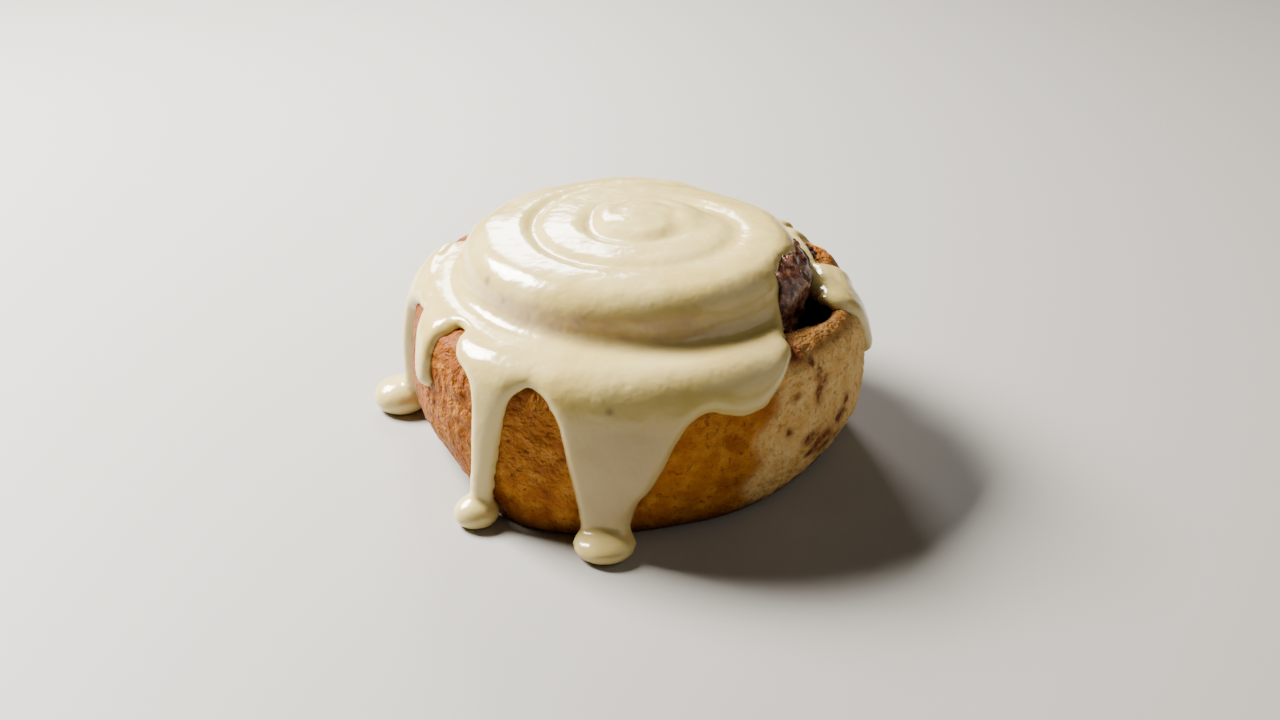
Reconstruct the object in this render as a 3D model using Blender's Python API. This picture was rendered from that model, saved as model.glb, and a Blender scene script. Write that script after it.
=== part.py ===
"""Glazed cinnamon roll, built as the real one is: a wound strip of dough with a cinnamon filling
between its turns, and a poured glaze that runs down the side and stands on the table in three feet.

The roll stands on the plane Z = 0 with its axis on +Z. Its front is -Y and its right side +X.
Lengths are in millimetres here and become metres when a point is made. An azimuth is in degrees,
0 at the front and growing towards the right side.
"""
import math

import bmesh
import bpy

MM = 0.001
WELD = 0.000005

# Outline of the dough
SIDE_RADIUS = 48.6
SIDE_SHIFT_RIGHT = 1.4
SIDE_SHIFT_FRONT = 0.9
SIDE_RIPPLE = 0.4
SIDE_RIPPLE_PHASE = 50.0
# Lobes of an outline: azimuth, half width and depth. A leaning lobe has a slope and the height it starts at
SIDE_LOBES = ((-74.0, 34.0, -0.55), (118.0, 46.0, -3.8))
LEAN_LOBES = ((-102.0, 72.0, 0.13, 15.0), (84.0, 28.0, 0.14, 22.0))
STRAIGHT_HEIGHT = 23.0
UNDERCUT_CURVE = 1.8
SIDE_HEIGHTS = (18.0, 12.0, 7.0, 3.0, 1.0, 0.0)
FOOTPRINT_RADIUS = 43.5
FOOTPRINT_LOBES = ((-22.0, 40.0, 4.0), (-61.0, 37.0, -4.8), (52.0, 34.0, -1.2), (94.0, 24.0, 2.6),
                   (118.0, 26.0, -1.5))
WIDEST_HEIGHT = 18.0
COIL_TOP = 46.4
COIL_CROWN = 1.5
COIL_CROWN_CURVE = 1.6
COIL_WALL_LEAN = 0.4
COIL_SINK_BEHIND = 1.3
COIL_SINK_HALF_WIDTH = 110.0
RIM_ROUND = 5.0
CREASE_BEHIND = 33.0
CREASE_LOBES = ((180.0, 40.0, 1.6), (134.0, 32.0, -2.0), (-112.0, 24.0, -0.8))
CREASE_DEPTH = 1.7
CREASE_RUN = 2.6
CREST_ROUND = 0.3
LEDGE_HEIGHT = 34.9
LEDGE_RISE_RIGHT = 1.2
LEDGE_RISE_TAIL = 0.8
SHOULDER_ROUND = 6.0
SHOULDER_INSET = 0.4
TAIL_AZIMUTH = 122.0
TAIL_STEP = 2.4
TAIL_STEP_LENGTH = 30.0
COLUMN_STEP = 7.5

# Spiral of the filling, clockwise from the right side when seen from above
CREASE_TURN = 810.0
OUTER_TURN = 1170.0
SPIRAL_CENTRE_X = 1.5
SPIRAL_START = 9.0
SPIRAL_PITCH = 12.0
SPIRAL_SQUEEZE = 2.5
SQUEEZE_TURN = 40.0
TAIL_SQUEEZE = 2.2
TAIL_SQUEEZE_START = 930.0
SLOT_WIDTH = 1.8
SLOT_FLARE = 1.6
SLOT_FLARE_DEPTH = 2.4
SLOT_MOUTH_ANGLE = 9.0
SLOT_MOUTH_OUTWARD = 4.0
FILLING_WIDTH = 1.2
FILLING_SINK = 2.0
FILLING_SINK_AT_GAP = 2.2
FILLING_LIFT = 0.6
FILLING_START = 12.0
FILLING_END_INSIDE = 6.0
FILLING_BULGE = 0.5
FILLING_BELLY = 1.0
SPIRAL_STEP = 9.0
GAP_START = 42.0
GAP_END = 99.0
GAP_WIDTH = 6.2
GAP_FLOOR = 26.0
GAP_FLOOR_SHARE = 0.35
GAP_STEEP_HEIGHT = 31.0
GAP_STEP = 5.0
GAP_BELOW_FILLING = 1.5

# Heights at which the cutting tools end, clear of the roll
TOOL_BOTTOM = -5.0
TOOL_TOP = 60.0

# Glaze
CLEARANCE = 0.35
GLAZE_THICKNESS = 1.8
GLAZE_ROOT = 1.0
GLAZE_STEP = 5.0
SHEET_ROWS = (0.0, 0.14, 0.28, 0.41, 0.5, 0.565, 0.63, 0.7, 0.76, 0.84, 0.92, 1.0)
GROOVE_DEPTH = 1.0
GROOVE_HALF_WIDTH = 2.6
GROOVE_FLOOR_HALF_WIDTH = 0.6
GROOVE_START = -60.0
GROOVE_FULL = 60.0
GROOVE_FADING = 560.0
GROOVE_END = 640.0
GROOVE_STEP = 10.0
SHEET_END_SHARES = (0.4, 0.75, 0.95, 1.0)
SHEET_END_THICKNESS = (1.0, 1.0, 0.75, 0.3)

# Each drip: azimuths of its top and foot, heights of its top and foot, widths down it, thickness
DRIPS = (
    (-0.6, -4.9, 34.0, 2.0, (35.0, 27.5, 21.6, 17.0, 11.4, 10.6), 2.8),
    (-32.5, -36.2, 34.0, 2.0, (15.5, 9.2, 7.4, 6.5, 5.7, 6.0), 2.6),
    (-62.5, -59.8, 34.2, 21.5, (11.0, 9.2, 8.0, 7.3, 6.8, 6.0), 2.4),
    (-90.0, -97.5, 34.0, 2.0, (17.0, 10.5, 8.4, 7.8, 7.4, 8.0), 3.0),
    (-150.0, -152.0, 34.0, 15.0, (14.0, 9.0, 7.0, 6.0, 5.8, 6.2), 2.3),
    (158.0, 160.0, 34.0, 10.0, (16.0, 10.0, 7.5, 6.5, 6.0, 6.6), 2.4),
    (76.0, 80.5, 34.8, 21.5, (14.0, 9.0, 7.2, 6.2, 5.6, 5.0), 2.4),
)
DRIP_STATIONS = 11
DRIP_ROOT = 1.6
# How far below the ledge's crest the sheet reaches, and its lobes: azimuth, half width and depth
SHEET_REACH = 3.2
SHEET_LOBES = ((26.0, 12.0, 5.4), (10.0, 12.0, 2.2), (-51.0, 8.0, -2.4), (-72.0, 7.0, -0.8), (-96.0, 24.0, 1.5),
               (178.0, 30.0, 2.0), (88.0, 16.0, 1.5))
# Outline of the bare window at the right, seen from above: azimuth and distance from the axis
WINDOW = ((60.0, 33.6), (52.5, 35.2), (49.0, 37.2), (46.0, 40.0), (43.2, 43.6), (39.6, 47.4), (35.0, 60.0),
          (66.5, 60.0), (68.0, 47.5), (70.0, 42.4), (77.0, 40.4), (86.0, 39.6), (95.0, 39.0), (98.5, 37.0),
          (93.0, 34.0), (76.0, 33.4))
# Each foot on the table: azimuth, distance from the axis, diameter and height
FEET = ((-4.8, 51.8, 12.3, 5.0), (-36.2, 50.5, 9.2, 5.6), (-97.5, 51.1, 12.4, 7.0))
# Form of a foot: shares of its radius and of its height, from the table up
FOOT_FORM = ((0.86, 0.0), (1.0, 0.28), (0.98, 0.55), (0.82, 0.82), (0.5, 0.98))
FOOT_SIDES = 16
# Route of the string of glaze across the gap: azimuth, distance from the axis and height
STRAND = ((84.0, 31.5, 45.8), (81.0, 35.4, 45.6), (77.0, 38.4, 43.2), (75.0, 40.2, 39.4),
          (75.0, 42.0, 36.6), (75.5, 43.5, 34.8))
STRAND_HALF_WIDTH = 1.1
STRAND_HALF_DEPTH = 0.75
STRAND_SIDES = 8

DOUGH_COLOUR = (0.52, 0.23, 0.06)
FILLING_COLOUR = (0.10, 0.032, 0.012)
GLAZE_COLOUR = (0.80, 0.70, 0.45)


def smoothstep(value, low, high):
    t = min(max((value - low) / (high - low), 0.0), 1.0)
    return t * t * (3.0 - 2.0 * t)


def bump(azimuth, centre, half_width):
    """A soft hill: 1 at its centre azimuth and 0 beyond its half width."""
    offset = (azimuth - centre + 180.0) % 360.0 - 180.0
    if abs(offset) >= half_width:
        return 0.0
    return 0.5 + 0.5 * math.cos(math.pi * offset / half_width)


def place(azimuth, radius, height):
    angle = math.radians(azimuth)
    return (radius * math.sin(angle) * MM, -radius * math.cos(angle) * MM, height * MM)


def slot_point(turn_angle, offset=0.0):
    """Azimuth and radius, from the roll's axis, of the filling's spiral at a turn angle."""
    squeeze = SPIRAL_SQUEEZE * (1.0 - math.cos(math.radians(turn_angle - SQUEEZE_TURN)))
    squeeze += TAIL_SQUEEZE * smoothstep(turn_angle, TAIL_SQUEEZE_START, OUTER_TURN - TAIL_AZIMUTH)
    radius = SPIRAL_START + SPIRAL_PITCH * turn_angle / 360.0 - squeeze + offset
    angle = math.radians(90.0 - turn_angle)
    x = SPIRAL_CENTRE_X + radius * math.sin(angle)
    y = -radius * math.cos(angle)
    return math.degrees(math.atan2(x, -y)), math.hypot(x, y)


def with_lobes(radius, azimuth, lobes):
    for centre, half_width, depth in lobes:
        radius += depth * bump(azimuth, centre, half_width)
    return radius


def crease_radius(azimuth):
    """Foot of the raised coil's wall: on the spiral, except behind, where the coil slopes down."""
    from_front = (azimuth + 180.0) % 360.0 - 180.0
    on_spiral = slot_point(CREASE_TURN - from_front)[1]
    behind = smoothstep(abs(from_front), 78.0, 118.0)
    return on_spiral * (1.0 - behind) + with_lobes(CREASE_BEHIND, azimuth, CREASE_LOBES) * behind


def side_radius(azimuth):
    """Widest radius, with the step where the outer turn starts in front of the strip's tail."""
    angle = math.radians(azimuth)
    uneven = SIDE_SHIFT_RIGHT * math.sin(angle) + SIDE_SHIFT_FRONT * math.cos(angle)
    uneven += SIDE_RIPPLE * math.cos(3.0 * angle + math.radians(SIDE_RIPPLE_PHASE))
    around = azimuth % 360.0
    step = 0.0
    if around < TAIL_AZIMUTH:
        step = TAIL_STEP * smoothstep(around, TAIL_AZIMUTH - TAIL_STEP_LENGTH, TAIL_AZIMUTH)
    return with_lobes(SIDE_RADIUS + uneven - step, azimuth, SIDE_LOBES)


def lean(azimuth, height):
    """How far the side has drawn in at a height: at the left and behind, and a little at the right."""
    drawn = 0.0
    for centre, half_width, slope, start in LEAN_LOBES:
        drawn += slope * bump(azimuth, centre, half_width) * max(height - start, 0.0)
    return drawn


def base_radius(azimuth):
    """Radius at the table. The roll sits flatter at the left and bulges in front of that."""
    return with_lobes(FOOTPRINT_RADIUS, azimuth, FOOTPRINT_LOBES)


def ledge_height(azimuth):
    """Height of the outer turn's crest: higher at the bare right side and behind at the right."""
    rise = LEDGE_RISE_RIGHT * bump(azimuth, 62.0, 34.0) + LEDGE_RISE_TAIL * bump(azimuth, 128.0, 42.0)
    return LEDGE_HEIGHT + rise


def rim_height(azimuth):
    """Height of the raised coil's rim: a little lower behind."""
    return COIL_TOP - COIL_CROWN - COIL_SINK_BEHIND * bump(azimuth, 180.0, COIL_SINK_HALF_WIDTH)


def profile(azimuth):
    """Outline of the dough at one azimuth, from the top of the axis down to the table."""
    crease = crease_radius(azimuth)
    side = side_radius(azimuth)
    base = base_radius(azimuth)
    ledge = ledge_height(azimuth)
    rim = rim_height(azimuth)
    coil = crease - COIL_WALL_LEAN
    points = [(0.0, COIL_TOP)]
    for share in (0.22, 0.44, 0.64):
        points.append((coil * share, COIL_TOP - (COIL_TOP - rim) * share ** COIL_CROWN_CURVE))
    for degrees in (90.0, 55.0, 22.0):
        across = RIM_ROUND * (1.0 - math.cos(math.radians(degrees)))
        down = RIM_ROUND * (1.0 - math.sin(math.radians(degrees)))
        points.append((coil - across, rim - down))
    points.append((crease, ledge - CREASE_DEPTH))
    points.append((crease + CREASE_RUN, ledge - CREST_ROUND))
    points.append((0.5 * (crease + side - lean(azimuth, ledge)) - 0.5, ledge))
    for degrees in (90.0, 50.0, 15.0):
        across = SHOULDER_ROUND * (1.0 - math.cos(math.radians(degrees)))
        level = ledge - CREST_ROUND - SHOULDER_ROUND * (1.0 - math.sin(math.radians(degrees)))
        points.append((side - lean(azimuth, level) - SHOULDER_INSET - across, level))
    points.append((side - lean(azimuth, STRAIGHT_HEIGHT), STRAIGHT_HEIGHT))
    for height in SIDE_HEIGHTS:
        undercut = (side - base) * (1.0 - height / WIDEST_HEIGHT) ** UNDERCUT_CURVE
        points.append((side - lean(azimuth, height) - undercut, height))
    return points


def outward(points, index):
    """Step out of the dough at a profile point that lifts both of its neighbouring faces by one unit."""
    normals = []
    for start, end in zip(points[max(index - 1, 0):index + 1], points[max(index - 1, 0) + 1:index + 2]):
        run = math.dist(start, end)
        normals.append(((start[1] - end[1]) / run, (end[0] - start[0]) / run))
    first = normals[0]
    last = normals[-1]
    reach = 1.0 + first[0] * last[0] + first[1] * last[1]
    return (first[0] + last[0]) / reach, (first[1] + last[1]) / reach


def grown(points, distance):
    """A profile moved outwards by a distance, still starting on the axis."""
    moved = []
    for index, (radius, height) in enumerate(points):
        normal = outward(points, index)
        moved.append((radius + distance * normal[0], height + distance * normal[1]))
    moved[0] = (0.0, points[0][1] + distance)
    return moved


def height_on(points, radius):
    """Height of the top surface of a profile at a radius."""
    for (inner_radius, inner_height), (outer_radius, outer_height) in zip(points, points[1:]):
        if inner_radius <= radius <= outer_radius:
            share = (radius - inner_radius) / max(outer_radius - inner_radius, 1e-6)
            return inner_height + share * (outer_height - inner_height)
    return points[-1][1]


def lowest_inside(azimuth, radius):
    """Lowest height at which the dough's side reaches past a radius."""
    height = 0.0
    points = profile(azimuth)
    below = [point for point in points if point[1] <= WIDEST_HEIGHT and point[0] > 30.0]
    for side, level in below:
        if side < radius:
            height = max(height, level)
    return height


def walk(points, length):
    """Point and outward step at a length along a profile."""
    for index, (start, end) in enumerate(zip(points, points[1:])):
        run = math.dist(start, end)
        if length <= run or index == len(points) - 2:
            share = min(length / run, 1.0)
            here = tuple(a + share * (b - a) for a, b in zip(start, end))
            first = outward(points, index)
            second = outward(points, index + 1)
            return here, tuple(a + share * (b - a) for a, b in zip(first, second))
        length -= run
    return points[-1], outward(points, len(points) - 1)


def length_at_height(points, height):
    """Length along a profile, past the ledge, at which it comes down to a height."""
    total = 0.0
    widest = max(point[0] for point in points)
    for start, end in zip(points, points[1:]):
        if start[0] > widest - 9.0 and end[1] <= height <= start[1]:
            return total + math.dist(start, end) * (start[1] - height) / (start[1] - end[1])
        total += math.dist(start, end)
    return total


def material(name, colour, roughness):
    made = bpy.data.materials.new(name)
    made.use_nodes = True
    shader = made.node_tree.nodes["Principled BSDF"]
    shader.inputs["Base Color"].default_value = (*colour, 1.0)
    shader.inputs["Roughness"].default_value = roughness
    shader.inputs["Metallic"].default_value = 0.0
    return made


def solid(name, vertices, faces):
    """One object from points and faces, with its faces turned outwards."""
    mesh = bpy.data.meshes.new(name)
    mesh.from_pydata(vertices, [], faces)
    shape = bmesh.new()
    shape.from_mesh(mesh)
    bmesh.ops.recalc_face_normals(shape, faces=shape.faces)
    shape.to_mesh(mesh)
    shape.free()
    made = bpy.data.objects.new(name, mesh)
    bpy.context.scene.collection.objects.link(made)
    return made


def turned(name, azimuths, columns):
    """A closed body from columns of (radius, height) that start and end on the axis."""
    rows = len(columns[0]) - 2
    vertices = [place(0.0, 0.0, columns[0][0][1]), place(0.0, 0.0, columns[0][-1][1])]
    for azimuth, column in zip(azimuths, columns):
        vertices.extend(place(azimuth, radius, height) for radius, height in column[1:-1])
    faces = []
    count = len(columns)
    for index in range(count):
        here = 2 + index * rows
        there = 2 + (index + 1) % count * rows
        faces.append((0, here, there))
        faces.append((1, there + rows - 1, here + rows - 1))
        for row in range(rows - 1):
            faces.append((here + row, here + row + 1, there + row + 1))
            faces.append((here + row, there + row + 1, there + row))
    return solid(name, vertices, faces)


def swept(name, rings):
    """A closed body through rings of points, with flat ends."""
    size = len(rings[0])
    vertices = [point for ring in rings for point in ring]
    faces = [tuple(range(size)), tuple(range(len(vertices) - size, len(vertices)))[::-1]]
    for start in range(0, len(vertices) - size, size):
        for index in range(size):
            after = (index + 1) % size
            faces.append((start + index, start + after, start + size + after, start + size + index))
    return solid(name, vertices, faces)


def combine(target, tool, operation, solver="EXACT"):
    """Boolean of two bodies, applied to the first. The second is then removed."""
    modifier = target.modifiers.new(operation, "BOOLEAN")
    modifier.operation = operation
    modifier.solver = solver
    modifier.object = tool
    bpy.context.view_layer.update()
    evaluated = target.evaluated_get(bpy.context.evaluated_depsgraph_get())
    mesh = bpy.data.meshes.new_from_object(evaluated)
    shape = bmesh.new()
    shape.from_mesh(mesh)
    bmesh.ops.remove_doubles(shape, verts=shape.verts, dist=WELD)
    bmesh.ops.dissolve_degenerate(shape, edges=shape.edges, dist=WELD)
    shape.to_mesh(mesh)
    shape.free()
    target.modifiers.clear()
    target.data = mesh
    bpy.data.objects.remove(tool, do_unlink=True)


def azimuth_steps(step):
    count = round(360.0 / step)
    return [index * 360.0 / count for index in range(count)]


def dough_hull(name, distance):
    """The dough's outer form without its spiral slot, grown by a distance."""
    azimuths = azimuth_steps(COLUMN_STEP)
    columns = []
    for azimuth in azimuths:
        column = grown(profile(azimuth), distance)
        if distance > 0.0:
            column.append((column[-1][0], TOOL_BOTTOM))
        foot = column[-1][1]
        column.append((0.0, foot))
        columns.append(column)
    return turned(name, azimuths, columns)


def spiral_angles(start, end, step=SPIRAL_STEP):
    count = round((end - start) / step)
    return [start + (end - start) * index / count for index in range(count + 1)]


def slot_section(turn_angle):
    """Points across the slot at one turn angle: narrow below and flared like a V at the surface."""
    azimuth, radius = slot_point(turn_angle)
    top = height_on(profile(azimuth), radius)
    half = 0.5 * SLOT_WIDTH
    flare = half + SLOT_FLARE
    mouth = SLOT_MOUTH_OUTWARD * max(0.0, turn_angle - tail_turn()) / SLOT_MOUTH_ANGLE
    sides = ((-half, TOOL_BOTTOM), (-half, top - SLOT_FLARE_DEPTH), (-flare, top + 0.6),
             (-flare, TOOL_TOP), (flare, TOOL_TOP), (flare, top + 0.6),
             (half, top - SLOT_FLARE_DEPTH), (half, TOOL_BOTTOM))
    ring = []
    for offset, height in sides:
        side_azimuth, side_distance = slot_point(turn_angle, offset + mouth)
        ring.append(place(side_azimuth, side_distance, height))
    return ring


def tail_turn():
    """Turn angle at which the slot comes out in front of the strip's tail."""
    return OUTER_TURN - TAIL_AZIMUTH


def slot_cutter():
    angles = spiral_angles(0.0, tail_turn()) + [tail_turn() + SLOT_MOUTH_ANGLE]
    return swept("slot", [slot_section(angle) for angle in angles])


def gap_cutter():
    """The open gap at the right, where the outer turn stands away from the coil."""
    start = CREASE_TURN - GAP_END
    half = 0.5 * SLOT_WIDTH
    rings = []
    for angle in spiral_angles(start, CREASE_TURN - GAP_START, GAP_STEP):
        share = min(max((angle - start) / (GAP_END - GAP_START), 0.02), 0.98)
        width = GAP_WIDTH * math.sin(math.pi * share) ** 0.6
        ring = []
        for offset, height in ((-half, GAP_FLOOR), (-half, TOOL_TOP), (half + width, TOOL_TOP),
                               (half + width, GAP_STEEP_HEIGHT),
                               (half + GAP_FLOOR_SHARE * width, GAP_FLOOR)):
            azimuth, radius = slot_point(angle, offset)
            ring.append(place(azimuth, radius, height))
        rings.append(ring)
    return swept("gap", rings)


def make_dough():
    dough = dough_hull("dough", 0.0)
    combine(dough, slot_cutter(), "DIFFERENCE")
    combine(dough, gap_cutter(), "DIFFERENCE")
    dough.data.materials.clear()
    dough.data.materials.append(material("baked_dough", DOUGH_COLOUR, 0.55))
    return dough


def make_filling():
    """The cinnamon filling: a ribbon through the slot, bare and thicker on the coil's wall at the gap."""
    gap_opens = CREASE_TURN - GAP_END
    gap_closes = CREASE_TURN - GAP_START
    rings = []
    for angle in spiral_angles(FILLING_START, tail_turn() - FILLING_END_INSIDE):
        azimuth, radius = slot_point(angle)
        points = profile(azimuth)
        top = min(height_on(points, radius + side) for side in (-1.5, 0.0, 1.5)) - FILLING_SINK
        in_gap = smoothstep(angle, gap_opens + 8.0, gap_opens + 20.0)
        in_gap *= 1.0 - smoothstep(angle, gap_closes - 18.0, gap_closes - 4.0)
        top = top + (rim_height(azimuth) - FILLING_SINK_AT_GAP - top) * in_gap
        foot = max(FILLING_LIFT, lowest_inside(azimuth, radius + 2.5) + FILLING_LIFT)
        half = 0.5 * FILLING_WIDTH
        waist = GAP_FLOOR + GAP_BELOW_FILLING
        ring = []
        for offset, height in ((-half, foot), (-half, top), (half + FILLING_BULGE * in_gap, top),
                               (half + FILLING_BELLY * in_gap, 0.5 * (top + waist)), (half, waist),
                               (half, foot)):
            side_azimuth, side_distance = slot_point(angle, offset)
            ring.append(place(side_azimuth, side_distance, height))
        rings.append(ring)
    filling = swept("filling", rings)
    filling.data.materials.append(material("cinnamon_filling", FILLING_COLOUR, 0.35))
    return filling


def glaze_edge(azimuth):
    """Length along the dough's profile at which the poured sheet of glaze ends on the side."""
    points = profile(azimuth)
    reach = SHEET_REACH
    for centre, half_width, depth in SHEET_LOBES:
        reach += depth * bump(azimuth, centre, half_width)
    return length_at_height(points, ledge_height(azimuth) - reach)


def glaze_sheet():
    """The sheet over the top, rooted in the dough's form so that one cut gives its underside."""
    azimuths = azimuth_steps(GLAZE_STEP)
    columns = []
    for azimuth in azimuths:
        points = profile(azimuth)
        shoulder = length_at_height(points, ledge_height(azimuth) - 1.0)
        edge = glaze_edge(azimuth)
        stops = [(shoulder * share, 1.0) for share in SHEET_ROWS]
        for share, thickness in zip(SHEET_END_SHARES, SHEET_END_THICKNESS):
            stops.append((shoulder + (edge - shoulder) * share, thickness))
        outer = []
        inner = []
        for length, thickness in stops:
            (radius, height), normal = walk(points, length)
            thick = GLAZE_THICKNESS * thickness
            outer.append((radius + thick * normal[0], height + thick * normal[1]))
            inner.append((radius - GLAZE_ROOT * normal[0], height - GLAZE_ROOT * normal[1]))
        outer[0] = (0.0, COIL_TOP + GLAZE_THICKNESS)
        inner[0] = (0.0, COIL_TOP - GLAZE_ROOT)
        columns.append(outer + inner[::-1])
    return turned("glaze", azimuths, columns)


def drip(top, foot_azimuth, high, low, widths, thickness):
    """A tongue of glaze down the side, which hangs straight where the dough draws in below."""
    rings = []
    for index in range(DRIP_STATIONS):
        share = index / (DRIP_STATIONS - 1.0)
        azimuth = top + (foot_azimuth - top) * share
        height = high + (low - high) * share
        position = share * (len(widths) - 1.0)
        step = min(int(position), len(widths) - 2)
        width = widths[step] + (position - step) * (widths[step + 1] - widths[step])
        points = profile(azimuth)
        (radius, _), _ = walk(points, length_at_height(points, max(height, WIDEST_HEIGHT)))
        if height < WIDEST_HEIGHT:
            radius = side_radius(azimuth) - lean(azimuth, WIDEST_HEIGHT)
        thick = thickness * (0.8 + 0.2 * share)
        ring = []
        half = math.degrees(0.5 * width / radius)
        for column in range(7):
            across = -1.0 + column / 3.0
            bulge = thick * math.sqrt(max(0.0, 1.0 - across * across))
            ring.append(place(azimuth + half * across, radius + bulge, height))
        for across in (0.8, 0.0, -0.8):
            ring.append(place(azimuth + half * across, radius - DRIP_ROOT, height))
        rings.append(ring)
    return swept("drip", rings)


def foot(azimuth, distance, diameter, height):
    """A rounded foot of glaze that stands on the table."""
    rings = []
    centre = place(azimuth, distance, 0.0)
    turns = [math.tau * index / FOOT_SIDES for index in range(FOOT_SIDES)]
    for share, level in FOOT_FORM:
        radius = 0.5 * diameter * share * MM
        rings.append([(centre[0] + radius * math.cos(turn), centre[1] + radius * math.sin(turn),
                       level * height * MM) for turn in turns])
    return swept("foot", rings)


def window_cutter():
    """The bare place at the right, seen from above: coil's wall, gap and crest of the outer turn."""
    outline = [place(azimuth, radius, 0.0) for azimuth, radius in WINDOW]
    bottom = [(x, y, TOOL_BOTTOM * MM) for x, y, _ in outline]
    top = [(x, y, TOOL_TOP * MM) for x, y, _ in outline]
    return swept("window", [bottom, top])


def strand():
    """A thin string of glaze from the coil's rim across the gap to the patch."""
    turns = [math.tau * side / STRAND_SIDES for side in range(STRAND_SIDES)]
    rings = []
    for azimuth, radius, height in STRAND:
        rings.append([place(azimuth + math.degrees(STRAND_HALF_WIDTH * math.cos(turn) / radius),
                            radius + STRAND_HALF_DEPTH * math.sin(turn),
                            height + STRAND_HALF_DEPTH * math.sin(turn)) for turn in turns])
    return swept("strand", rings)


def groove_cutter():
    """The shallow spiral furrow in the glaze over the filling."""
    rings = []
    for angle in spiral_angles(GROOVE_START, GROOVE_END, GROOVE_STEP):
        azimuth, radius = slot_point(angle)
        surface = height_on(profile(azimuth), radius) + GLAZE_THICKNESS
        fade = smoothstep(angle, GROOVE_START, GROOVE_FULL)
        fade *= 1.0 - smoothstep(angle, GROOVE_FADING, GROOVE_END)
        bottom = surface + 0.3 - (GROOVE_DEPTH + 0.3) * fade
        floor = GROOVE_FLOOR_HALF_WIDTH
        ring = []
        for offset, height in ((-GROOVE_HALF_WIDTH, surface + 0.4), (-floor, bottom), (floor, bottom),
                               (GROOVE_HALF_WIDTH, surface + 0.4), (0.0, surface + 4.0)):
            side_azimuth, side_distance = slot_point(angle, offset)
            ring.append(place(side_azimuth, side_distance, height))
        rings.append(ring)
    return swept("groove", rings)


def make_glaze():
    glaze = glaze_sheet()
    for shape in DRIPS:
        combine(glaze, drip(*shape), "UNION")
    for shape in FEET:
        combine(glaze, foot(*shape), "UNION")
    combine(glaze, window_cutter(), "DIFFERENCE")
    combine(glaze, strand(), "UNION")
    combine(glaze, groove_cutter(), "DIFFERENCE")
    combine(glaze, dough_hull("clearance", CLEARANCE), "DIFFERENCE", "MANIFOLD")
    glaze.data.materials.clear()
    glaze.data.materials.append(material("cream_glaze", GLAZE_COLOUR, 0.22))
    return glaze


def clear_scene():
    for thing in list(bpy.data.objects):
        bpy.data.objects.remove(thing, do_unlink=True)


def main():
    clear_scene()
    make_dough()
    make_filling()
    make_glaze()


main()
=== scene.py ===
# %% [markdown]
# A glazed cinnamon roll, dressed for its portrait.
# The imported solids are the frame: a wound body of dough, the dark filling between its turns, and the
# glaze that was poured over it. Each of the three is modelled again here, finer and in the same
# place, and gets a material made of nodes. The roll stands on Z = 0 with its front at -Y.

# %% Load the frame
import math

import bpy
import numpy as np
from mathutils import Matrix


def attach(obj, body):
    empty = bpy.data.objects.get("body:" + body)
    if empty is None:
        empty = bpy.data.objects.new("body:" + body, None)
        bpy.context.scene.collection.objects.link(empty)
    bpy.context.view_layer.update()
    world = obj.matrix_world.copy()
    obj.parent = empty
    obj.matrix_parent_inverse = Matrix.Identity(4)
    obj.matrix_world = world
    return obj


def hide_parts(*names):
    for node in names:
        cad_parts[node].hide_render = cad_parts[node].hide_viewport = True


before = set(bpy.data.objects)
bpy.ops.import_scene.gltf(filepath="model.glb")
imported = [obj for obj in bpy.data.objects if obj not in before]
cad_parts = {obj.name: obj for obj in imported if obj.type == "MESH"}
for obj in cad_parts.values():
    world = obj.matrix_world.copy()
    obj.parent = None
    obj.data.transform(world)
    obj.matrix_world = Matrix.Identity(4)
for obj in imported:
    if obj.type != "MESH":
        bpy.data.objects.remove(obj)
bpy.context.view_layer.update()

print("nodes in the frame:", sorted(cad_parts))

# %% [markdown]
# All sizes are in millimetres until a mesh is filled, because a baker thinks in millimetres.
# An azimuth is an angle round the roll in degrees: 0 at the front, growing towards the right side.
# The sizes below are those of the solids, so every finer surface lands on the plain one. A real roll
# is never round, so most sizes have lobes: soft swells or dents, each with the azimuth of its middle,
# its half width in degrees and its depth.

# %% Sizes of the roll
MM = 0.001
SIDE_RADIUS = 48.6
SIDE_SHIFT_RIGHT = 1.4
SIDE_SHIFT_FRONT = 0.9
SIDE_LOBES = ((-74.0, 34.0, -0.55), (118.0, 46.0, -3.8))
FOOTPRINT_RADIUS = 43.5
FOOTPRINT_LOBES = ((-22.0, 40.0, 4.0), (-61.0, 37.0, -4.8), (52.0, 34.0, -1.2), (94.0, 24.0, 2.6),
                   (118.0, 26.0, -1.5))
WIDEST_HEIGHT = 18.0
COIL_TOP = 46.4
COIL_CROWN = 1.5
RIM_LOBES = ((180.0, 110.0, -1.3),)
RIM_ROUND = 5.0
LEDGE_HEIGHT = 34.9
LEDGE_LOBES = ((62.0, 34.0, 1.2), (116.0, 34.0, 2.2))
SHOULDER_ROUND = 6.0
CREASE_BEHIND = 33.0
CREASE_LOBES = ((180.0, 40.0, 1.6), (134.0, 32.0, -2.0), (-112.0, 24.0, -0.8))
TAIL_AZIMUTH = 122.0
TAIL_STEP = 2.4
TAIL_TAPER = 30.0
GAP_START = 42.0
GAP_END = 99.0
GAP_WIDTH = 6.2
GAP_FLOOR = 26.0
# Where the side draws in above a height: azimuth, half width, slope and that height
LEANS = ((-102.0, 72.0, 0.13, 15.0), (84.0, 28.0, 0.14, 22.0))
# The spiral, and the turn angles of the crease, of the strip's tail and of the filling's two ends
SPIRAL_CENTRE_X = 1.5
SPIRAL_START = 9.0
SPIRAL_PITCH = 12.0
CREASE_TURN = 810.0
TAIL_TURN = 1170.0 - TAIL_AZIMUTH
FILLING_START = 12.0
FILLING_END = TAIL_TURN - 6.0
print("the widest turn is", 2.0 * SIDE_RADIUS, "mm across and the coil is", COIL_TOP, "mm high")


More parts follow.
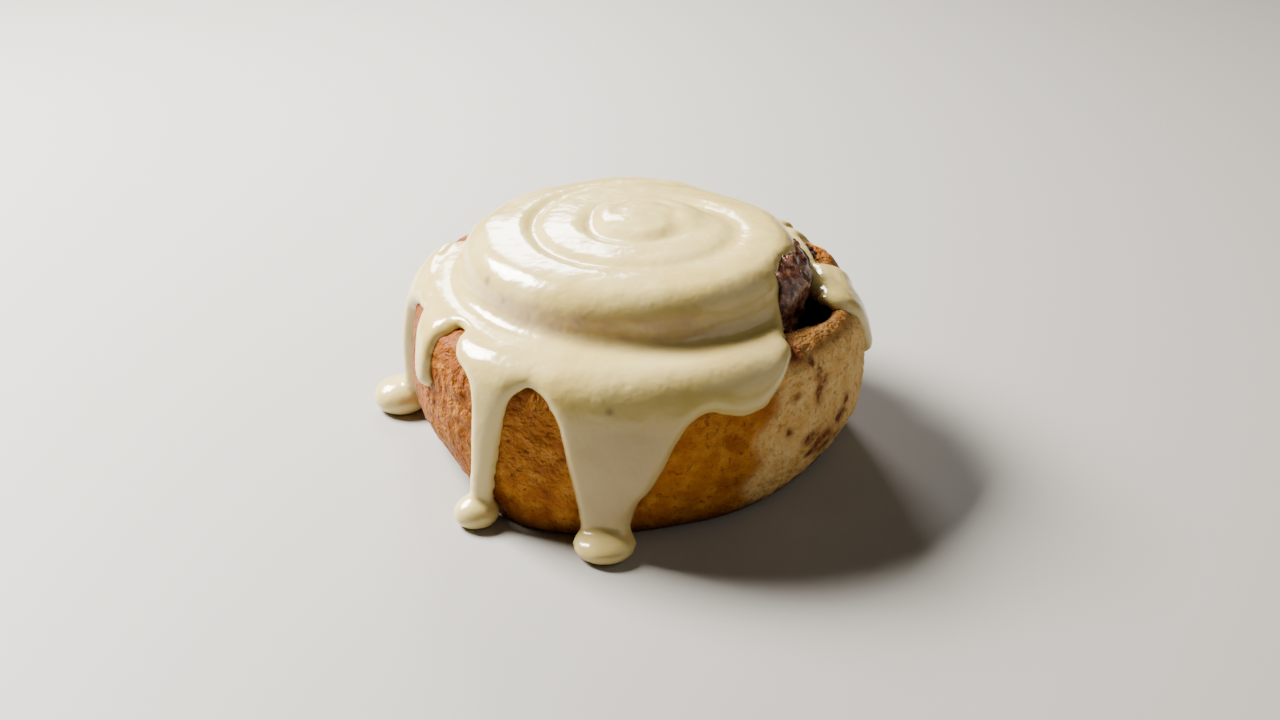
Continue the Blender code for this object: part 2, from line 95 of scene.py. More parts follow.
# %% Soft steps and hills
def smoothstep(value, low, high):
    t = np.clip((value - low) / (high - low), 0.0, 1.0)
    return t * t * (3.0 - 2.0 * t)


def bump(azimuth, centre, half_width):
    """A soft hill: 1 at its centre azimuth and 0 beyond its half width."""
    offset = (azimuth - centre + 180.0) % 360.0 - 180.0
    return np.where(np.abs(offset) < half_width, 0.5 + 0.5 * np.cos(np.pi * offset / half_width), 0.0)


def with_lobes(size, azimuth, lobes):
    """A size with soft lobes: azimuth, half width and depth of each."""
    for centre, half_width, depth in lobes:
        size = size + depth * bump(azimuth, centre, half_width)
    return size


def mixed(first, second, share):
    return first * (1.0 - share) + second * share


print("halfway up a hill:", bump(15.0, 0.0, 30.0))

# %% [markdown]
# The strip of dough is wound in a spiral, and the same spiral is needed three times: for the
# filling, for the furrows in the glaze and for the swirl on the underside. So it is one function of
# the turn angle, which runs clockwise seen from above, and a second one says how far a point is off it.

# %% The spiral
FAR_AWAY = 99.0


def spiral_radius(turn):
    squeeze = 2.5 * (1.0 - np.cos(np.radians(turn - 40.0))) + 2.2 * smoothstep(turn, 930.0, TAIL_TURN)
    return SPIRAL_START + SPIRAL_PITCH * turn / 360.0 - squeeze


def slot_point(turn, offset=0.0):
    """Azimuth and radius, from the roll's axis, of the spiral at a turn angle."""
    radius = spiral_radius(turn) + offset
    angle = np.radians(90.0 - turn)
    x = SPIRAL_CENTRE_X + radius * np.sin(angle)
    y = -radius * np.cos(angle)
    return np.degrees(np.arctan2(x, -y)), np.hypot(x, y)


def off_spiral(x, y, first_turn=FILLING_START, last_turn=FILLING_END):
    """Distance from the spiral and the turn angle of its nearest turn."""
    radius = np.hypot(x - SPIRAL_CENTRE_X, y)
    start = (90.0 - np.degrees(np.arctan2(x - SPIRAL_CENTRE_X, -y))) % 360.0
    best = np.full(np.shape(x), FAR_AWAY)
    best_turn = np.zeros(np.shape(x))
    for lap in range(-1, 4):
        turn = start + 360.0 * lap
        offset = radius - spiral_radius(turn)
        nearer = (np.abs(offset) < np.abs(best)) & (turn >= first_turn) & (turn <= last_turn)
        best = np.where(nearer, offset, best)
        best_turn = np.where(nearer, turn, best_turn)
    return best, best_turn


print("the filling makes", round((TAIL_TURN - FILLING_START) / 360.0, 1), "turns")

# %% [markdown]
# The outline of the dough differs at each azimuth. In front the crease between coil and outer turn is
# the spiral itself. Behind, where the glaze hides it, a ring with lobes takes over. The side bellies,
# leans in at the left, and steps out where the strip's tail lies on the turn below it.


# %% Outline of the dough at each azimuth
def crease_radius(azimuth):
    from_front = (azimuth + 180.0) % 360.0 - 180.0
    behind = smoothstep(np.abs(from_front), 78.0, 118.0)
    ring = with_lobes(CREASE_BEHIND, azimuth, CREASE_LOBES)
    return mixed(slot_point(CREASE_TURN - from_front)[1], ring, behind)


def side_radius(azimuth):
    """Radius of the roll at its widest height."""
    angle = np.radians(azimuth)
    uneven = SIDE_SHIFT_RIGHT * np.sin(angle) + SIDE_SHIFT_FRONT * np.cos(angle)
    uneven = uneven + 0.4 * np.cos(3.0 * angle + math.radians(50.0))
    around = azimuth % 360.0
    tapering = TAIL_STEP * smoothstep(around, TAIL_AZIMUTH - TAIL_TAPER, TAIL_AZIMUTH)
    step = np.where(around < TAIL_AZIMUTH, tapering, 0.0)
    return with_lobes(SIDE_RADIUS + uneven - step, azimuth, SIDE_LOBES)


def lean(azimuth, height):
    """How far the side has drawn in at a height: at the left and behind, and a little at the right."""
    drawn = 0.0
    for centre, half_width, slope, start in LEANS:
        drawn = drawn + slope * bump(azimuth, centre, half_width) * np.maximum(height - start, 0.0)
    return drawn


def base_radius(azimuth):
    """Radius at the table. The roll sits flatter at the left and bulges in front of that."""
    return with_lobes(FOOTPRINT_RADIUS, azimuth, FOOTPRINT_LOBES)


def ledge_height(azimuth):
    return with_lobes(LEDGE_HEIGHT, azimuth, LEDGE_LOBES)


def rim_height(azimuth):
    return with_lobes(COIL_TOP - COIL_CROWN, azimuth, RIM_LOBES)


def gap_share(azimuth):
    """How far the gap between coil and outer turn is open: 0 where it is shut, 1 at its widest."""
    share = np.clip((azimuth - GAP_START) / (GAP_END - GAP_START), 0.0, 1.0)
    return np.sin(np.pi * share) ** 0.6


for title, size in (("front", 0.0), ("right", 90.0), ("back", 180.0), ("left", -90.0)):
    print(title, "side at", round(float(side_radius(np.array(size))), 1), "mm from the axis")


# %% [markdown]
# Dough and glaze are both turned bodies at heart, but with an outline that changes round the roll.
# A lathe or Spin gives one outline only. So a flat grid is wrapped round instead: its rows follow
# smooth outlines through a few control points, and its first and last columns meet at a seam that
# is merged. The rows can lie close together where the roll shows and wide apart where it doesn't.

# %% Rows through control points
def row_counts(points, spacing):
    """How many rows each stretch between two control points takes at its spacing."""
    chord = np.linalg.norm(np.diff(points, axis=0), axis=2).mean(axis=1)
    return [max(1, round(float(length) / gap)) for length, gap in zip(chord, spacing)]


def smooth_rows(points, counts):
    """Rows of points along a smooth line through control points, one line for each azimuth."""
    chord = np.linalg.norm(np.diff(points, axis=0), axis=2)[..., None] + 1e-6
    slope = np.diff(points, axis=0) / chord
    weight = chord[:-1] / (chord[:-1] + chord[1:])
    inner = mixed(slope[:-1], slope[1:], weight)
    tangent = np.concatenate([slope[:1], inner, slope[-1:]])
    rows = []
    for index, count in enumerate(counts):
        for step in range(count):
            t = step / count
            a = 2.0 * t ** 3 - 3.0 * t ** 2 + 1.0
            b = t ** 3 - 2.0 * t ** 2 + t
            c = -2.0 * t ** 3 + 3.0 * t ** 2
            d = t ** 3 - t ** 2
            rows.append(a * points[index] + b * chord[index] * tangent[index]
                        + c * points[index + 1] + d * chord[index] * tangent[index + 1])
    rows.append(points[-1])
    return np.array(rows)


def stacked(pairs, azimuth):
    """Control points from (radius, height) pairs, each a number or an array over the azimuths."""
    zero = np.zeros_like(azimuth)
    return np.array([[radius + zero, height + zero] for radius, height in pairs]).transpose(0, 2, 1)


# %% [markdown]
# Every piece is made as by hand: a primitive is added, its vertices are moved, modifiers are applied
# one by one, and seams are merged in edit mode. The helpers below are those few motions. Noise is
# pushed in with Displace, and only where a vertex group allows it.


# %% Small helpers for working by hand
def deselect():
    bpy.ops.object.select_all(action="DESELECT")


def select_only(piece):
    deselect()
    piece.select_set(True)
    bpy.context.view_layer.objects.active = piece


def apply_modifier(piece, name, kind, **settings):
    """Add one modifier, set it and apply it."""
    select_only(piece)
    modifier = piece.modifiers.new(name, kind)
    for key, value in settings.items():
        setattr(modifier, key, value)
    bpy.ops.object.modifier_apply(modifier=name)


def vertex_array(piece):
    """Where the piece's vertices are, in millimetres."""
    places = np.empty(len(piece.data.vertices) * 3, dtype=np.float32)
    piece.data.vertices.foreach_get("co", places)
    return places.reshape(-1, 3).astype(np.float64) / MM


def move_vertices(piece, places):
    piece.data.vertices.foreach_set("co", (places * MM).astype(np.float32).ravel())
    piece.data.update()


def keep_above_table(piece):
    """Flatten whatever has come below the table's top."""
    places = vertex_array(piece)
    places[:, 2] = np.maximum(places[:, 2], 0.0)
    move_vertices(piece, places)


def round_axis(azimuth, radius, height):
    """Points at azimuths, radii and heights, in millimetres."""
    angle = np.radians(azimuth)
    return np.stack([radius * np.sin(angle), -radius * np.cos(angle), height + 0.0 * radius], axis=-1)


def one_place(azimuth, radius, height):
    """One such point, in metres."""
    return (round_axis(np.array(azimuth), np.array(radius), np.array(height)) * MM).tolist()


def azimuth_and_radius(places):
    """Azimuth of each point and its distance from the axis."""
    azimuth = np.degrees(np.arctan2(places[:, 0], -places[:, 1]))
    return azimuth, np.hypot(places[:, 0], places[:, 1])


def add_grid(name, places):
    """A flat grid primitive whose vertices are then laid on rows and columns of places."""
    deselect()
    rows, columns = places.shape[:2]
    bpy.ops.mesh.primitive_grid_add(x_subdivisions=columns - 1, y_subdivisions=rows - 1, size=1.0)
    piece = bpy.context.active_object
    piece.name = name
    piece.data.name = name
    move_vertices(piece, places.reshape(-1, 3))
    return piece


def merge_seams(piece, distance=0.00002):
    """Merge the seam and the poles, and turn all faces outwards."""
    select_only(piece)
    bpy.ops.object.mode_set(mode="EDIT")
    bpy.ops.mesh.select_all(action="SELECT")
    bpy.ops.mesh.remove_doubles(threshold=distance)
    bpy.ops.mesh.normals_make_consistent(inside=False)
    bpy.ops.object.mode_set(mode="OBJECT")


WEIGHT_STEPS = 20


def weight_group(piece, name, weights):
    """A vertex group with one weight for each vertex, in twenty steps."""
    group = piece.vertex_groups.new(name=name)
    levels = np.round(np.clip(weights, 0.0, 1.0) * WEIGHT_STEPS).astype(int)
    for level in range(1, WEIGHT_STEPS + 1):
        members = np.nonzero(levels == level)[0]
        group.add(members.tolist(), level / WEIGHT_STEPS, "REPLACE")


def roughen(piece, name, size, depth, group="", detail=2):
    """Push the surface in and out by a cloudy noise of a size and a depth in millimetres."""
    texture = bpy.data.textures.new(name, "CLOUDS")
    texture.noise_scale = size * MM
    texture.noise_depth = detail
    apply_modifier(piece, name, "DISPLACE", texture=texture, strength=depth * MM, mid_level=0.5,
                   vertex_group=group)
    bpy.data.textures.remove(texture)


def store(piece, name, values):
    """Keep one number for each vertex, which the material reads as an attribute."""
    attribute = piece.data.attributes.new(name, "FLOAT", "POINT")
    attribute.data.foreach_set("value", np.clip(values, 0.0, 1.0).astype(np.float32))


def report(piece):
    triangles = sum(len(face.vertices) - 2 for face in piece.data.polygons)
    size = np.ptp(vertex_array(piece), axis=0)
    print(piece.name, "has", triangles, "triangles and is", np.round(size, 1), "mm")


# %% [markdown]
# The dough. On the real roll the middle turns rise in the oven and the outer turn stays lower, so
# the outline goes over a crowned coil, down its wall, into a crease, over the ledge of the outer
# turn and down a bellied side that draws in at the base. At the right the outer turn stands off and
# leaves an open gap. The crease's control points sink into that gap where it is open.

# %% Control points of the dough
# The rim of the outer turn stands up bare at two places
RAISED_RIMS = ((-121.0, 24.0, 1.5), (102.0, 13.0, 1.2))
CROWN_SHARES = (0.0, 0.25, 0.5, 0.75)
RIM_ANGLES = (90.0, 65.0, 42.0, 20.0, 5.0)
SHOULDER_ANGLES = (90.0, 68.0, 45.0, 25.0, 8.0)
BELLY_HEIGHTS = (18.0, 14.0, 10.0, 7.0, 4.5, 2.4, 0.9)


def dough_points(azimuth):
    crease = crease_radius(azimuth)
    side = side_radius(azimuth)
    base = base_radius(azimuth)
    ledge = ledge_height(azimuth)
    rim = rim_height(azimuth)
    gap = gap_share(azimuth)
    width = GAP_WIDTH * gap
    coil = crease - 0.4
    floor = mixed(ledge - 1.7, GAP_FLOOR, gap)
    ledge = with_lobes(ledge, azimuth, RAISED_RIMS)
    pairs = [((coil - RIM_ROUND) * share, COIL_TOP - (COIL_TOP - rim) * share ** 1.6)
             for share in CROWN_SHARES]
    for degrees in RIM_ANGLES:
        angle = math.radians(degrees)
        pairs.append((coil - RIM_ROUND * (1.0 - math.cos(angle)),
                      rim - RIM_ROUND * (1.0 - math.sin(angle))))
    pairs.append((crease - 0.2 - 0.7 * gap, mixed(0.5 * (rim + ledge) - 2.0, 33.0, gap)))
    pairs.append((crease - 0.9 * gap, floor + 0.5))
    pairs.append((crease + 0.7 + 0.3 * width, floor))
    pairs.append((crease + 1.3 + 0.75 * width, mixed(ledge - 1.0, 30.0, gap)))
    pairs.append((crease + 2.6 + 0.85 * width, ledge - 0.3 - 1.6 * gap))
    top_edge = side - lean(azimuth, ledge)
    pairs.append((mixed(0.5 * (crease + top_edge) - 0.5, top_edge - 6.8, gap), ledge - 0.1 * gap))
    for degrees in SHOULDER_ANGLES:
        angle = math.radians(degrees)
        level = ledge - 0.3 - SHOULDER_ROUND * (1.0 - math.sin(angle))
        pairs.append((side - lean(azimuth, level) - 0.4 - SHOULDER_ROUND * (1.0 - math.cos(angle))
                      + 0.3 * (1.0 - math.sin(angle)), level))
    pairs.append((side - lean(azimuth, 23.0), 23.0))
    for height in BELLY_HEIGHTS:
        undercut = (side - base) * (1.0 - height / WIDEST_HEIGHT) ** 1.8
        pairs.append((side - lean(azimuth, height) - undercut, height))
    pairs.append((base - 0.2, 0.15))
    pairs.append((base - 1.3, 0.0))
    pairs.append((0.0, 0.0))
    return stacked(pairs, azimuth)


# How far apart the rows lie in each stretch between two control points
DOUGH_SPACING = [2.2] * 4 + [0.9] * 4 + [0.8] * 6 + [0.7] * 5 + [0.55] * 8 + [0.5] * 2 + [1.1]
DOUGH_COLUMNS = 560
dough_azimuth = np.linspace(0.0, 360.0, DOUGH_COLUMNS + 1)
dough_controls = dough_points(dough_azimuth)
dough_rows = smooth_rows(dough_controls, row_counts(dough_controls, DOUGH_SPACING))
dough_rows[:, -1] = dough_rows[:, 0]
print("the dough has", dough_rows.shape[0], "rows of", DOUGH_COLUMNS)

# %% Wrap the grid round the dough
dough_places = round_axis(dough_azimuth[None, :], dough_rows[..., 0], dough_rows[..., 1])
dough = add_grid("dough_body", dough_places)
merge_seams(dough)
report(dough)

# %% [markdown]
# The underside shows the swirl too, because the strip stands on its edge in the tin. A groove is
# pressed into it along the spiral, just deep enough for the filling to show in it.

# %% Swirl on the underside
GROOVE_DEPTH = 0.9
SWIRL_RADIUS = 41.0
places = vertex_array(dough)
azimuth, radius = azimuth_and_radius(places)
offset, _ = off_spiral(places[:, 0], places[:, 1])
underneath = places[:, 2] < 0.1
groove = GROOVE_DEPTH * (1.0 - smoothstep(np.abs(offset), 0.7, 1.3))
places[:, 2] = np.where(underneath & (radius < SWIRL_RADIUS), groove, places[:, 2])
print("groove in", int((groove[underneath] > 0.1).sum()), "vertices")

# %% [markdown]
# In front of the open gap the outer turn has sagged, so one looks down into the gap over a low lip.
# The vertices of the ledge are lowered there by a soft hill, turned upside down. That keeps the rows
# of the grid as they are, where sculpting would not.

# %% Low lip in front of the gap
LIP_AZIMUTH = 66.0
LIP_HALF_WIDTH = 20.0
LIP_DEPTH = 3.4
across = smoothstep(46.5 - radius, 0.0, 5.0) * smoothstep(radius, 37.0, 40.0)
lip = bump(azimuth, LIP_AZIMUTH, LIP_HALF_WIDTH) * across
places[:, 2] = places[:, 2] - LIP_DEPTH * lip * smoothstep(places[:, 2], 27.0, 31.0)
move_vertices(dough, places)
print("the lip is lowered in", int((lip > 0.1).sum()), "vertices")

# %% [markdown]
# Baked dough is never smooth. Wide, shallow swells come from the proving, small blisters from the
# oven, and the side that was pulled off the next roll is torn into soft shreds. Displace modifiers
# with cloudy noise give all three, and vertex groups say where each one acts.


# %% Where the side was torn from its neighbour
def torn_share(places):
    """1 on the pale side that was pulled off the next roll, 0 on the crust."""
    azimuth, radius = azimuth_and_radius(places)
    height = places[:, 2]
    left_edge = 30.0 + 5.5 * smoothstep(height, 14.0, 32.0) + 1.5 * np.sin(height * 0.55)
    right_edge = 92.0 + 4.0 * np.sin(height * 0.33 + 1.0) + 2.0 * np.sin(height * 0.9)
    share = smoothstep(azimuth, left_edge - 3.0, left_edge + 3.0)
    share = share * (1.0 - smoothstep(azimuth, right_edge - 6.0, right_edge + 6.0))
    outside = smoothstep(radius, 38.0, 42.0) * (1.0 - 0.75 * smoothstep(height, 31.0, 34.5))
    return share * outside


def wall_share(places):
    """1 on the outside of the roll, 0 on its flat underside and little in the gap."""
    azimuth, radius = azimuth_and_radius(places)
    in_gap = gap_share(azimuth) * (1.0 - smoothstep(radius, 40.0, 42.0))
    return smoothstep(places[:, 2], 0.4, 3.0) * (1.0 - 0.8 * in_gap)


places = vertex_array(dough)
torn = torn_share(places)
wall = wall_share(places)
azimuth, _ = azimuth_and_radius(places)
blistered = 0.4 + 0.6 * bump(azimuth, -48.0, 60.0)
weight_group(dough, "crust_push", wall * (1.0 - torn))
weight_group(dough, "blister_push", wall * (1.0 - torn) * blistered)
weight_group(dough, "torn_push", wall * torn)
print("torn side:", int((torn > 0.5).sum()), "vertices")

# %% Swells, blisters and torn shreds
roughen(dough, "swells", 11.0, 1.1, "crust_push")
roughen(dough, "blisters", 2.4, 1.0, "blister_push", 2)
roughen(dough, "torn_lumps", 7.0, 1.6, "torn_push")
roughen(dough, "torn_shreds", 2.2, 0.7, "torn_push", 3)
keep_above_table(dough)
report(dough)

# %% [markdown]
# Filling has run out of the seam under the strip's tail and into the swirl underneath. Inside the open
# gap and in the slit along the rim behind it, the same near-black is painted shade. An image would be
# the usual way to place such marks. Numbers on the vertices do it without one, worked out from where
# each vertex is.

# %% Stains of filling, and painted shade in the gap
places = vertex_array(dough)
azimuth, radius = azimuth_and_radius(places)
height = places[:, 2]
wider = 2.4 * bump(azimuth, LIP_AZIMUTH, LIP_HALF_WIDTH)
between = smoothstep(radius, 30.0, 32.5) * (1.0 - smoothstep(radius, 40.5 + wider, 43.0 + wider))
# Painted shade inside the open gap
in_gap = gap_share(azimuth) * between * (1.0 - smoothstep(height, 38.0, 44.0))
# Painted shadow in the slit between the band of glaze and the ledge
behind_gap = bump(azimuth, 103.0, 14.0) * np.exp(-((radius - 39.8) / 1.3) ** 2) * (height > 32.0)
tail_seam = np.exp(-((azimuth - TAIL_AZIMUTH + 0.4) / 0.7) ** 2) * (radius > 36.0) * (height < 33.0)
offset, _ = off_spiral(places[:, 0], places[:, 1])
swirl = (height < 1.2) * (radius < SWIRL_RADIUS) * np.exp(-(offset / 1.3) ** 2)
stain_and_gap_shade = np.maximum.reduce([in_gap, behind_gap, 0.8 * tail_seam, swirl])
store(dough, "stain_and_gap_shade", stain_and_gap_shade)
print("stained:", int((stain_and_gap_shade > 0.5).sum()), "vertices")

# %% [markdown]
# The torn side has smears of filling where the turns came apart. Each is a soft spot that the
# material later breaks up with noise, so thirteen spots are enough for a ragged look.

# %% Smears of filling on the torn side
# Azimuth, height, distance from the axis, half width and half height of each
SMEARS = ((48.4, 29.0, 49.0, 1.3, 1.8), (48.6, 25.0, 49.0, 1.4, 2.6), (50.4, 27.0, 49.0, 1.0, 1.2),
          (52.0, 12.6, 48.0, 3.4, 2.6), (46.6, 15.0, 48.0, 2.0, 1.4), (58.0, 9.0, 47.0, 4.2, 3.0),
          (59.0, 15.5, 48.5, 2.8, 1.8), (40.5, 26.4, 49.0, 1.0, 0.9), (39.0, 19.0, 49.0, 0.9, 0.9),
          (46.3, 31.8, 49.0, 0.8, 0.9), (61.0, 18.6, 48.5, 0.9, 1.4), (43.0, 34.4, 46.0, 2.6, 1.6),
          (48.0, 11.0, 48.0, 1.4, 1.0))
SMEAR_STRENGTH = 1.6
WALL_THICKNESS = 14.0
smear = np.zeros(len(places))
for smear_azimuth, level, distance, wide, tall in SMEARS:
    across = math.pi * distance / 180.0 * (azimuth - smear_azimuth) / wide
    up = (height - level) / tall
    outside = radius > distance - WALL_THICKNESS
    smear = np.maximum(smear, np.exp(-(across ** 2 + up ** 2)) * outside)
store(dough, "smear", SMEAR_STRENGTH * smear)
print("smeared:", int((smear > 0.5).sum()), "vertices")

# %% [markdown]
# The crust is painted darker in two places: a painted shade under the rim, where the glaze overhangs it,
# and a painted shade at the left and behind, where the key light falls strongest. It is nearly burnt at
# the base, where sugar ran down in the tin. The torn side stayed pale. Four more numbers say so.

# %% Browning of the dough, and painted shade on it
store(dough, "torn", torn_share(places))
# Painted shade at the left and behind, holding down the strong key light there
store(dough, "painted_left_shade", bump(azimuth, -100.0, 110.0) * wall_share(places))
# Painted shade under the rim, where the glaze overhangs the crust
shade_below_rim = smoothstep(height, 24.0, 33.0) * (radius > 40.0)
store(dough, "shade_under_rim", shade_below_rim * (1.0 - bump(azimuth, -121.0, 30.0)))
store(dough, "base_edge", 1.0 - smoothstep(height, 0.6, 4.5))
select_only(dough)
bpy.ops.object.shade_smooth()
kept_numbers = [layer.name for layer in dough.data.attributes if layer.data_type == "FLOAT"]
print("numbers on the dough:", kept_numbers)

# %% [markdown]
# The filling is butter, cinnamon and sugar that has baked into a dark, sticky layer. It runs as a
# ribbon between the turns, hidden nearly everywhere, and lies bare on the coil's wall at the gap,
# where it has swollen into glossy lumps. The ribbon is a grid laid along the spiral, thickened with
# Solidify, and made lumpy with Displace only where it is bare.


# %% Course of the ribbon
GAP_OPENS = CREASE_TURN - GAP_END
GAP_CLOSES = CREASE_TURN - GAP_START


def bare_share(turn):
    """1 where the ribbon lies bare in the gap."""
    open_share = smoothstep(turn, GAP_OPENS + 2.0, GAP_OPENS + 12.0)
    return open_share * (1.0 - smoothstep(turn, GAP_CLOSES - 14.0, GAP_CLOSES - 3.0))


inner_turns = np.linspace(FILLING_START, GAP_OPENS - 4.0, 86)
bare_turns = np.linspace(GAP_OPENS - 3.0, GAP_CLOSES + 3.0, 96)
outer_turns = np.linspace(GAP_CLOSES + 4.0, FILLING_END, 44)
turns = np.concatenate([inner_turns, bare_turns, outer_turns])
bare = bare_share(turns)
ribbon_azimuth, ribbon_radius = slot_point(turns)
print("the ribbon has", len(turns), "columns, bare in", int((bare > 0.5).sum()))

# %% Height and bulge of the ribbon
RIBBON_ROWS = 64
RIBBON_THICK = 1.5
rim = rim_height(ribbon_azimuth)
under_ledge = mixed(rim - 3.0, ledge_height(ribbon_azimuth) - 4.5, smoothstep(turns, 690.0, 760.0))
ribbon_top = mixed(under_ledge, rim - 0.8, bare)
drawn_in = np.clip(ribbon_radius - base_radius(ribbon_azimuth) + 3.0, 0.0, 9.0)
ribbon_foot = 0.5 + 2.2 * drawn_in
shares = np.linspace(0.0, 1.0, RIBBON_ROWS)[:, None]
ribbon_height = mixed(ribbon_foot[None, :], ribbon_top[None, :], shares)
belly = np.sin(np.pi * np.clip((ribbon_height - GAP_FLOOR) / (rim - 1.0 - GAP_FLOOR), 0.0, 1.0)) ** 0.6
over_rim = np.clip(ribbon_height - (rim - RIM_ROUND), 0.0, RIM_ROUND - 0.4)
rounding = RIM_ROUND - np.sqrt(RIM_ROUND ** 2 - over_rim ** 2)
swelling = np.exp(-((ribbon_height - 38.0) / 5.0) ** 2) * smoothstep(turns, 716.0, 728.0)[None, :]
outward = bare[None, :] * (0.5 + 0.5 * belly + 2.0 * swelling - 1.1 * rounding)
grid_turns = np.broadcast_to(turns, outward.shape)
wide_azimuth, wide_radius = slot_point(grid_turns, outward - 0.2 * bare[None, :])
filling = add_grid("filling_ribbon", round_axis(wide_azimuth, wide_radius, ribbon_height))
apply_modifier(filling, "thickness", "SOLIDIFY", thickness=RIBBON_THICK * MM, offset=0.0,
               use_even_offset=True)
merge_seams(filling, 0.000005)
report(filling)

# %% Lumps where the filling is bare
places = vertex_array(filling)
azimuth, radius = azimuth_and_radius(places)
lumpy = gap_share(azimuth) * (places[:, 2] > GAP_FLOOR - 1.0) * (radius < 38.5)
weight_group(filling, "bare", lumpy)
roughen(filling, "lumps", 2.4, 2.6, "bare", 1)
roughen(filling, "sugar_grain", 0.9, 0.8, "bare", 2)
select_only(filling)
bpy.ops.object.shade_smooth()
report(filling)

# %% [markdown]
# The glaze. Thick icing sugar and cream cheese run over the top, fill the crease with a soft curve,
# and go over the shoulder in drips that end in feet on the table. Its surface is a second grid,
# laid on its own outline a few millimetres outside the dough. Where it ends it curls down to the
# crust like a bead of water, so its thickness depends on how far a point is from its edge.

# %% Control points under and over the glaze
GLAZE_THICK = 1.9
FILLET = 3.4
# Angles on the fillet in the crease, each with the place on the dough under it: out from the crease
# and up from the ledge
FILLET_STEPS = ((12.0, -0.1, 1.6), (35.0, 0.2, -0.6), (60.0, 1.4, -0.9), (85.0, 2.8, -0.3))
DRIP_HEIGHTS = (23.0, 18.0, 12.0, 6.0, 1.2)


def glaze_points(azimuth):
    """Control points on the dough and on the full glaze over it, in pairs."""
    crease = crease_radius(azimuth)
    side = side_radius(azimuth)
    ledge = ledge_height(azimuth)
    rim = rim_height(azimuth)
    coil = crease - 0.4
    shoulder = side - lean(azimuth, ledge) - 0.4 - SHOULDER_ROUND
    fillet_foot = crease + GLAZE_THICK - 0.3
    reach_out = np.clip((shoulder - 1.2 - fillet_foot) / FILLET, 0.45, 1.0) * FILLET
    under = [((coil - RIM_ROUND) * share, COIL_TOP - (COIL_TOP - rim) * share ** 1.6)
             for share in CROWN_SHARES]
    over = [(radius, height + GLAZE_THICK) for radius, height in under]
    for degrees in RIM_ANGLES:
        cosine = math.cos(math.radians(degrees))
        sine = math.sin(math.radians(degrees))
        under.append((coil - RIM_ROUND * (1.0 - cosine), rim - RIM_ROUND * (1.0 - sine)))
        reach = RIM_ROUND + GLAZE_THICK
        over.append((coil - RIM_ROUND + reach * cosine, rim - RIM_ROUND + reach * sine))
    for degrees, outward, upward in FILLET_STEPS:
        cosine = math.cos(math.radians(degrees))
        sine = math.sin(math.radians(degrees))
        under.append((crease + outward, ledge + upward))
        over.append((fillet_foot + reach_out * (1.0 - cosine),
                     ledge + GLAZE_THICK - 0.2 + FILLET * (1.0 - sine)))
    under.append((0.5 * (crease + 2.8 + shoulder), ledge))
    over.append((0.5 * (fillet_foot + reach_out + shoulder), ledge + GLAZE_THICK - 0.22))
    for degrees in SHOULDER_ANGLES:
        cosine = math.cos(math.radians(degrees))
        sine = math.sin(math.radians(degrees))
        level = ledge - 0.3 - SHOULDER_ROUND * (1.0 - sine)
        wall = side - lean(azimuth, level)
        under.append((wall - 0.4 - SHOULDER_ROUND * (1.0 - cosine), level))
        reach = SHOULDER_ROUND + GLAZE_THICK
        over.append((wall - 0.4 - SHOULDER_ROUND + reach * cosine,
                     ledge - 0.3 - SHOULDER_ROUND + reach * sine))
    for height in DRIP_HEIGHTS:
        wall = side - lean(azimuth, height) - 0.2
        under.append((wall, height))
        over.append((wall + GLAZE_THICK, height))
    return stacked(under, azimuth), stacked(over, azimuth)


GLAZE_SPACING = [0.9] * 4 + [0.6] * 19
GLAZE_COLUMNS = 600
glaze_azimuth = np.linspace(0.0, 360.0, GLAZE_COLUMNS + 1)
under_points, over_points = glaze_points(glaze_azimuth)
print(len(under_points), "control points and", len(GLAZE_SPACING), "stretches")

# %% [markdown]
# Where the glaze lies is drawn on the unrolled side: a sheet with a wavy lower edge, tongues that
# taper as they run down, and a bare window at the right. Each is a signed distance, positive inside,
# and a smooth maximum joins them, which rounds the arches between two drips as surface tension does.


# %% Signed distances on the unrolled side
def smooth_max(first, second, blend):
    near = np.clip(blend - np.abs(first - second), 0.0, blend) / blend
    return np.maximum(first, second) + near ** 2 * blend * 0.25


def sheet_distance(azimuth, height):
    """How far a point of the side is above the sheet's lower edge."""
    reach = 3.4 + 0.5 * np.sin(np.radians(azimuth * 5.0))
    reach = reach + 0.3 * np.sin(np.radians(azimuth * 11.0 + 40.0))
    reach = with_lobes(reach, azimuth, SHEET_LOBES)
    return height - (ledge_height(azimuth) - reach)


def drip_distance(azimuth, height, stations, free_end):
    """How far a point is inside a drip, given by heights, azimuths and widths from the top down."""
    levels = np.array([station[0] for station in stations])[::-1]
    middles = np.array([station[1] for station in stations])[::-1]
    widths = np.array([station[2] for station in stations])[::-1]
    centre = np.interp(height, levels, middles)
    half = 0.5 * np.interp(height, levels, widths)
    across = (azimuth - centre + 180.0) % 360.0 - 180.0
    across = np.abs(across) * math.pi * DRIP_RADIUS / 180.0
    inside = half - across
    if free_end:
        tip = levels[0] + half
        below = np.clip(tip - height, 0.0, None)
        inside = np.where(below > 0.0, half - np.hypot(across, below), inside)
    return inside


def polygon_distance(x, y, corners):
    """Signed distance to a polygon, positive inside."""
    best = np.full(x.shape, FAR_AWAY)
    inside = np.zeros(x.shape, dtype=bool)
    for (ax, ay), (bx, by) in zip(corners, corners[1:] + corners[:1]):
        length = (bx - ax) ** 2 + (by - ay) ** 2
        share = np.clip(((x - ax) * (bx - ax) + (y - ay) * (by - ay)) / length, 0.0, 1.0)
        best = np.minimum(best, np.hypot(x - ax - share * (bx - ax), y - ay - share * (by - ay)))
        if ay != by:
            crosses = ((ay > y) != (by > y)) & (x < ax + (y - ay) * (bx - ax) / (by - ay))
            inside = inside ^ crosses
    return np.where(inside, best, -best)


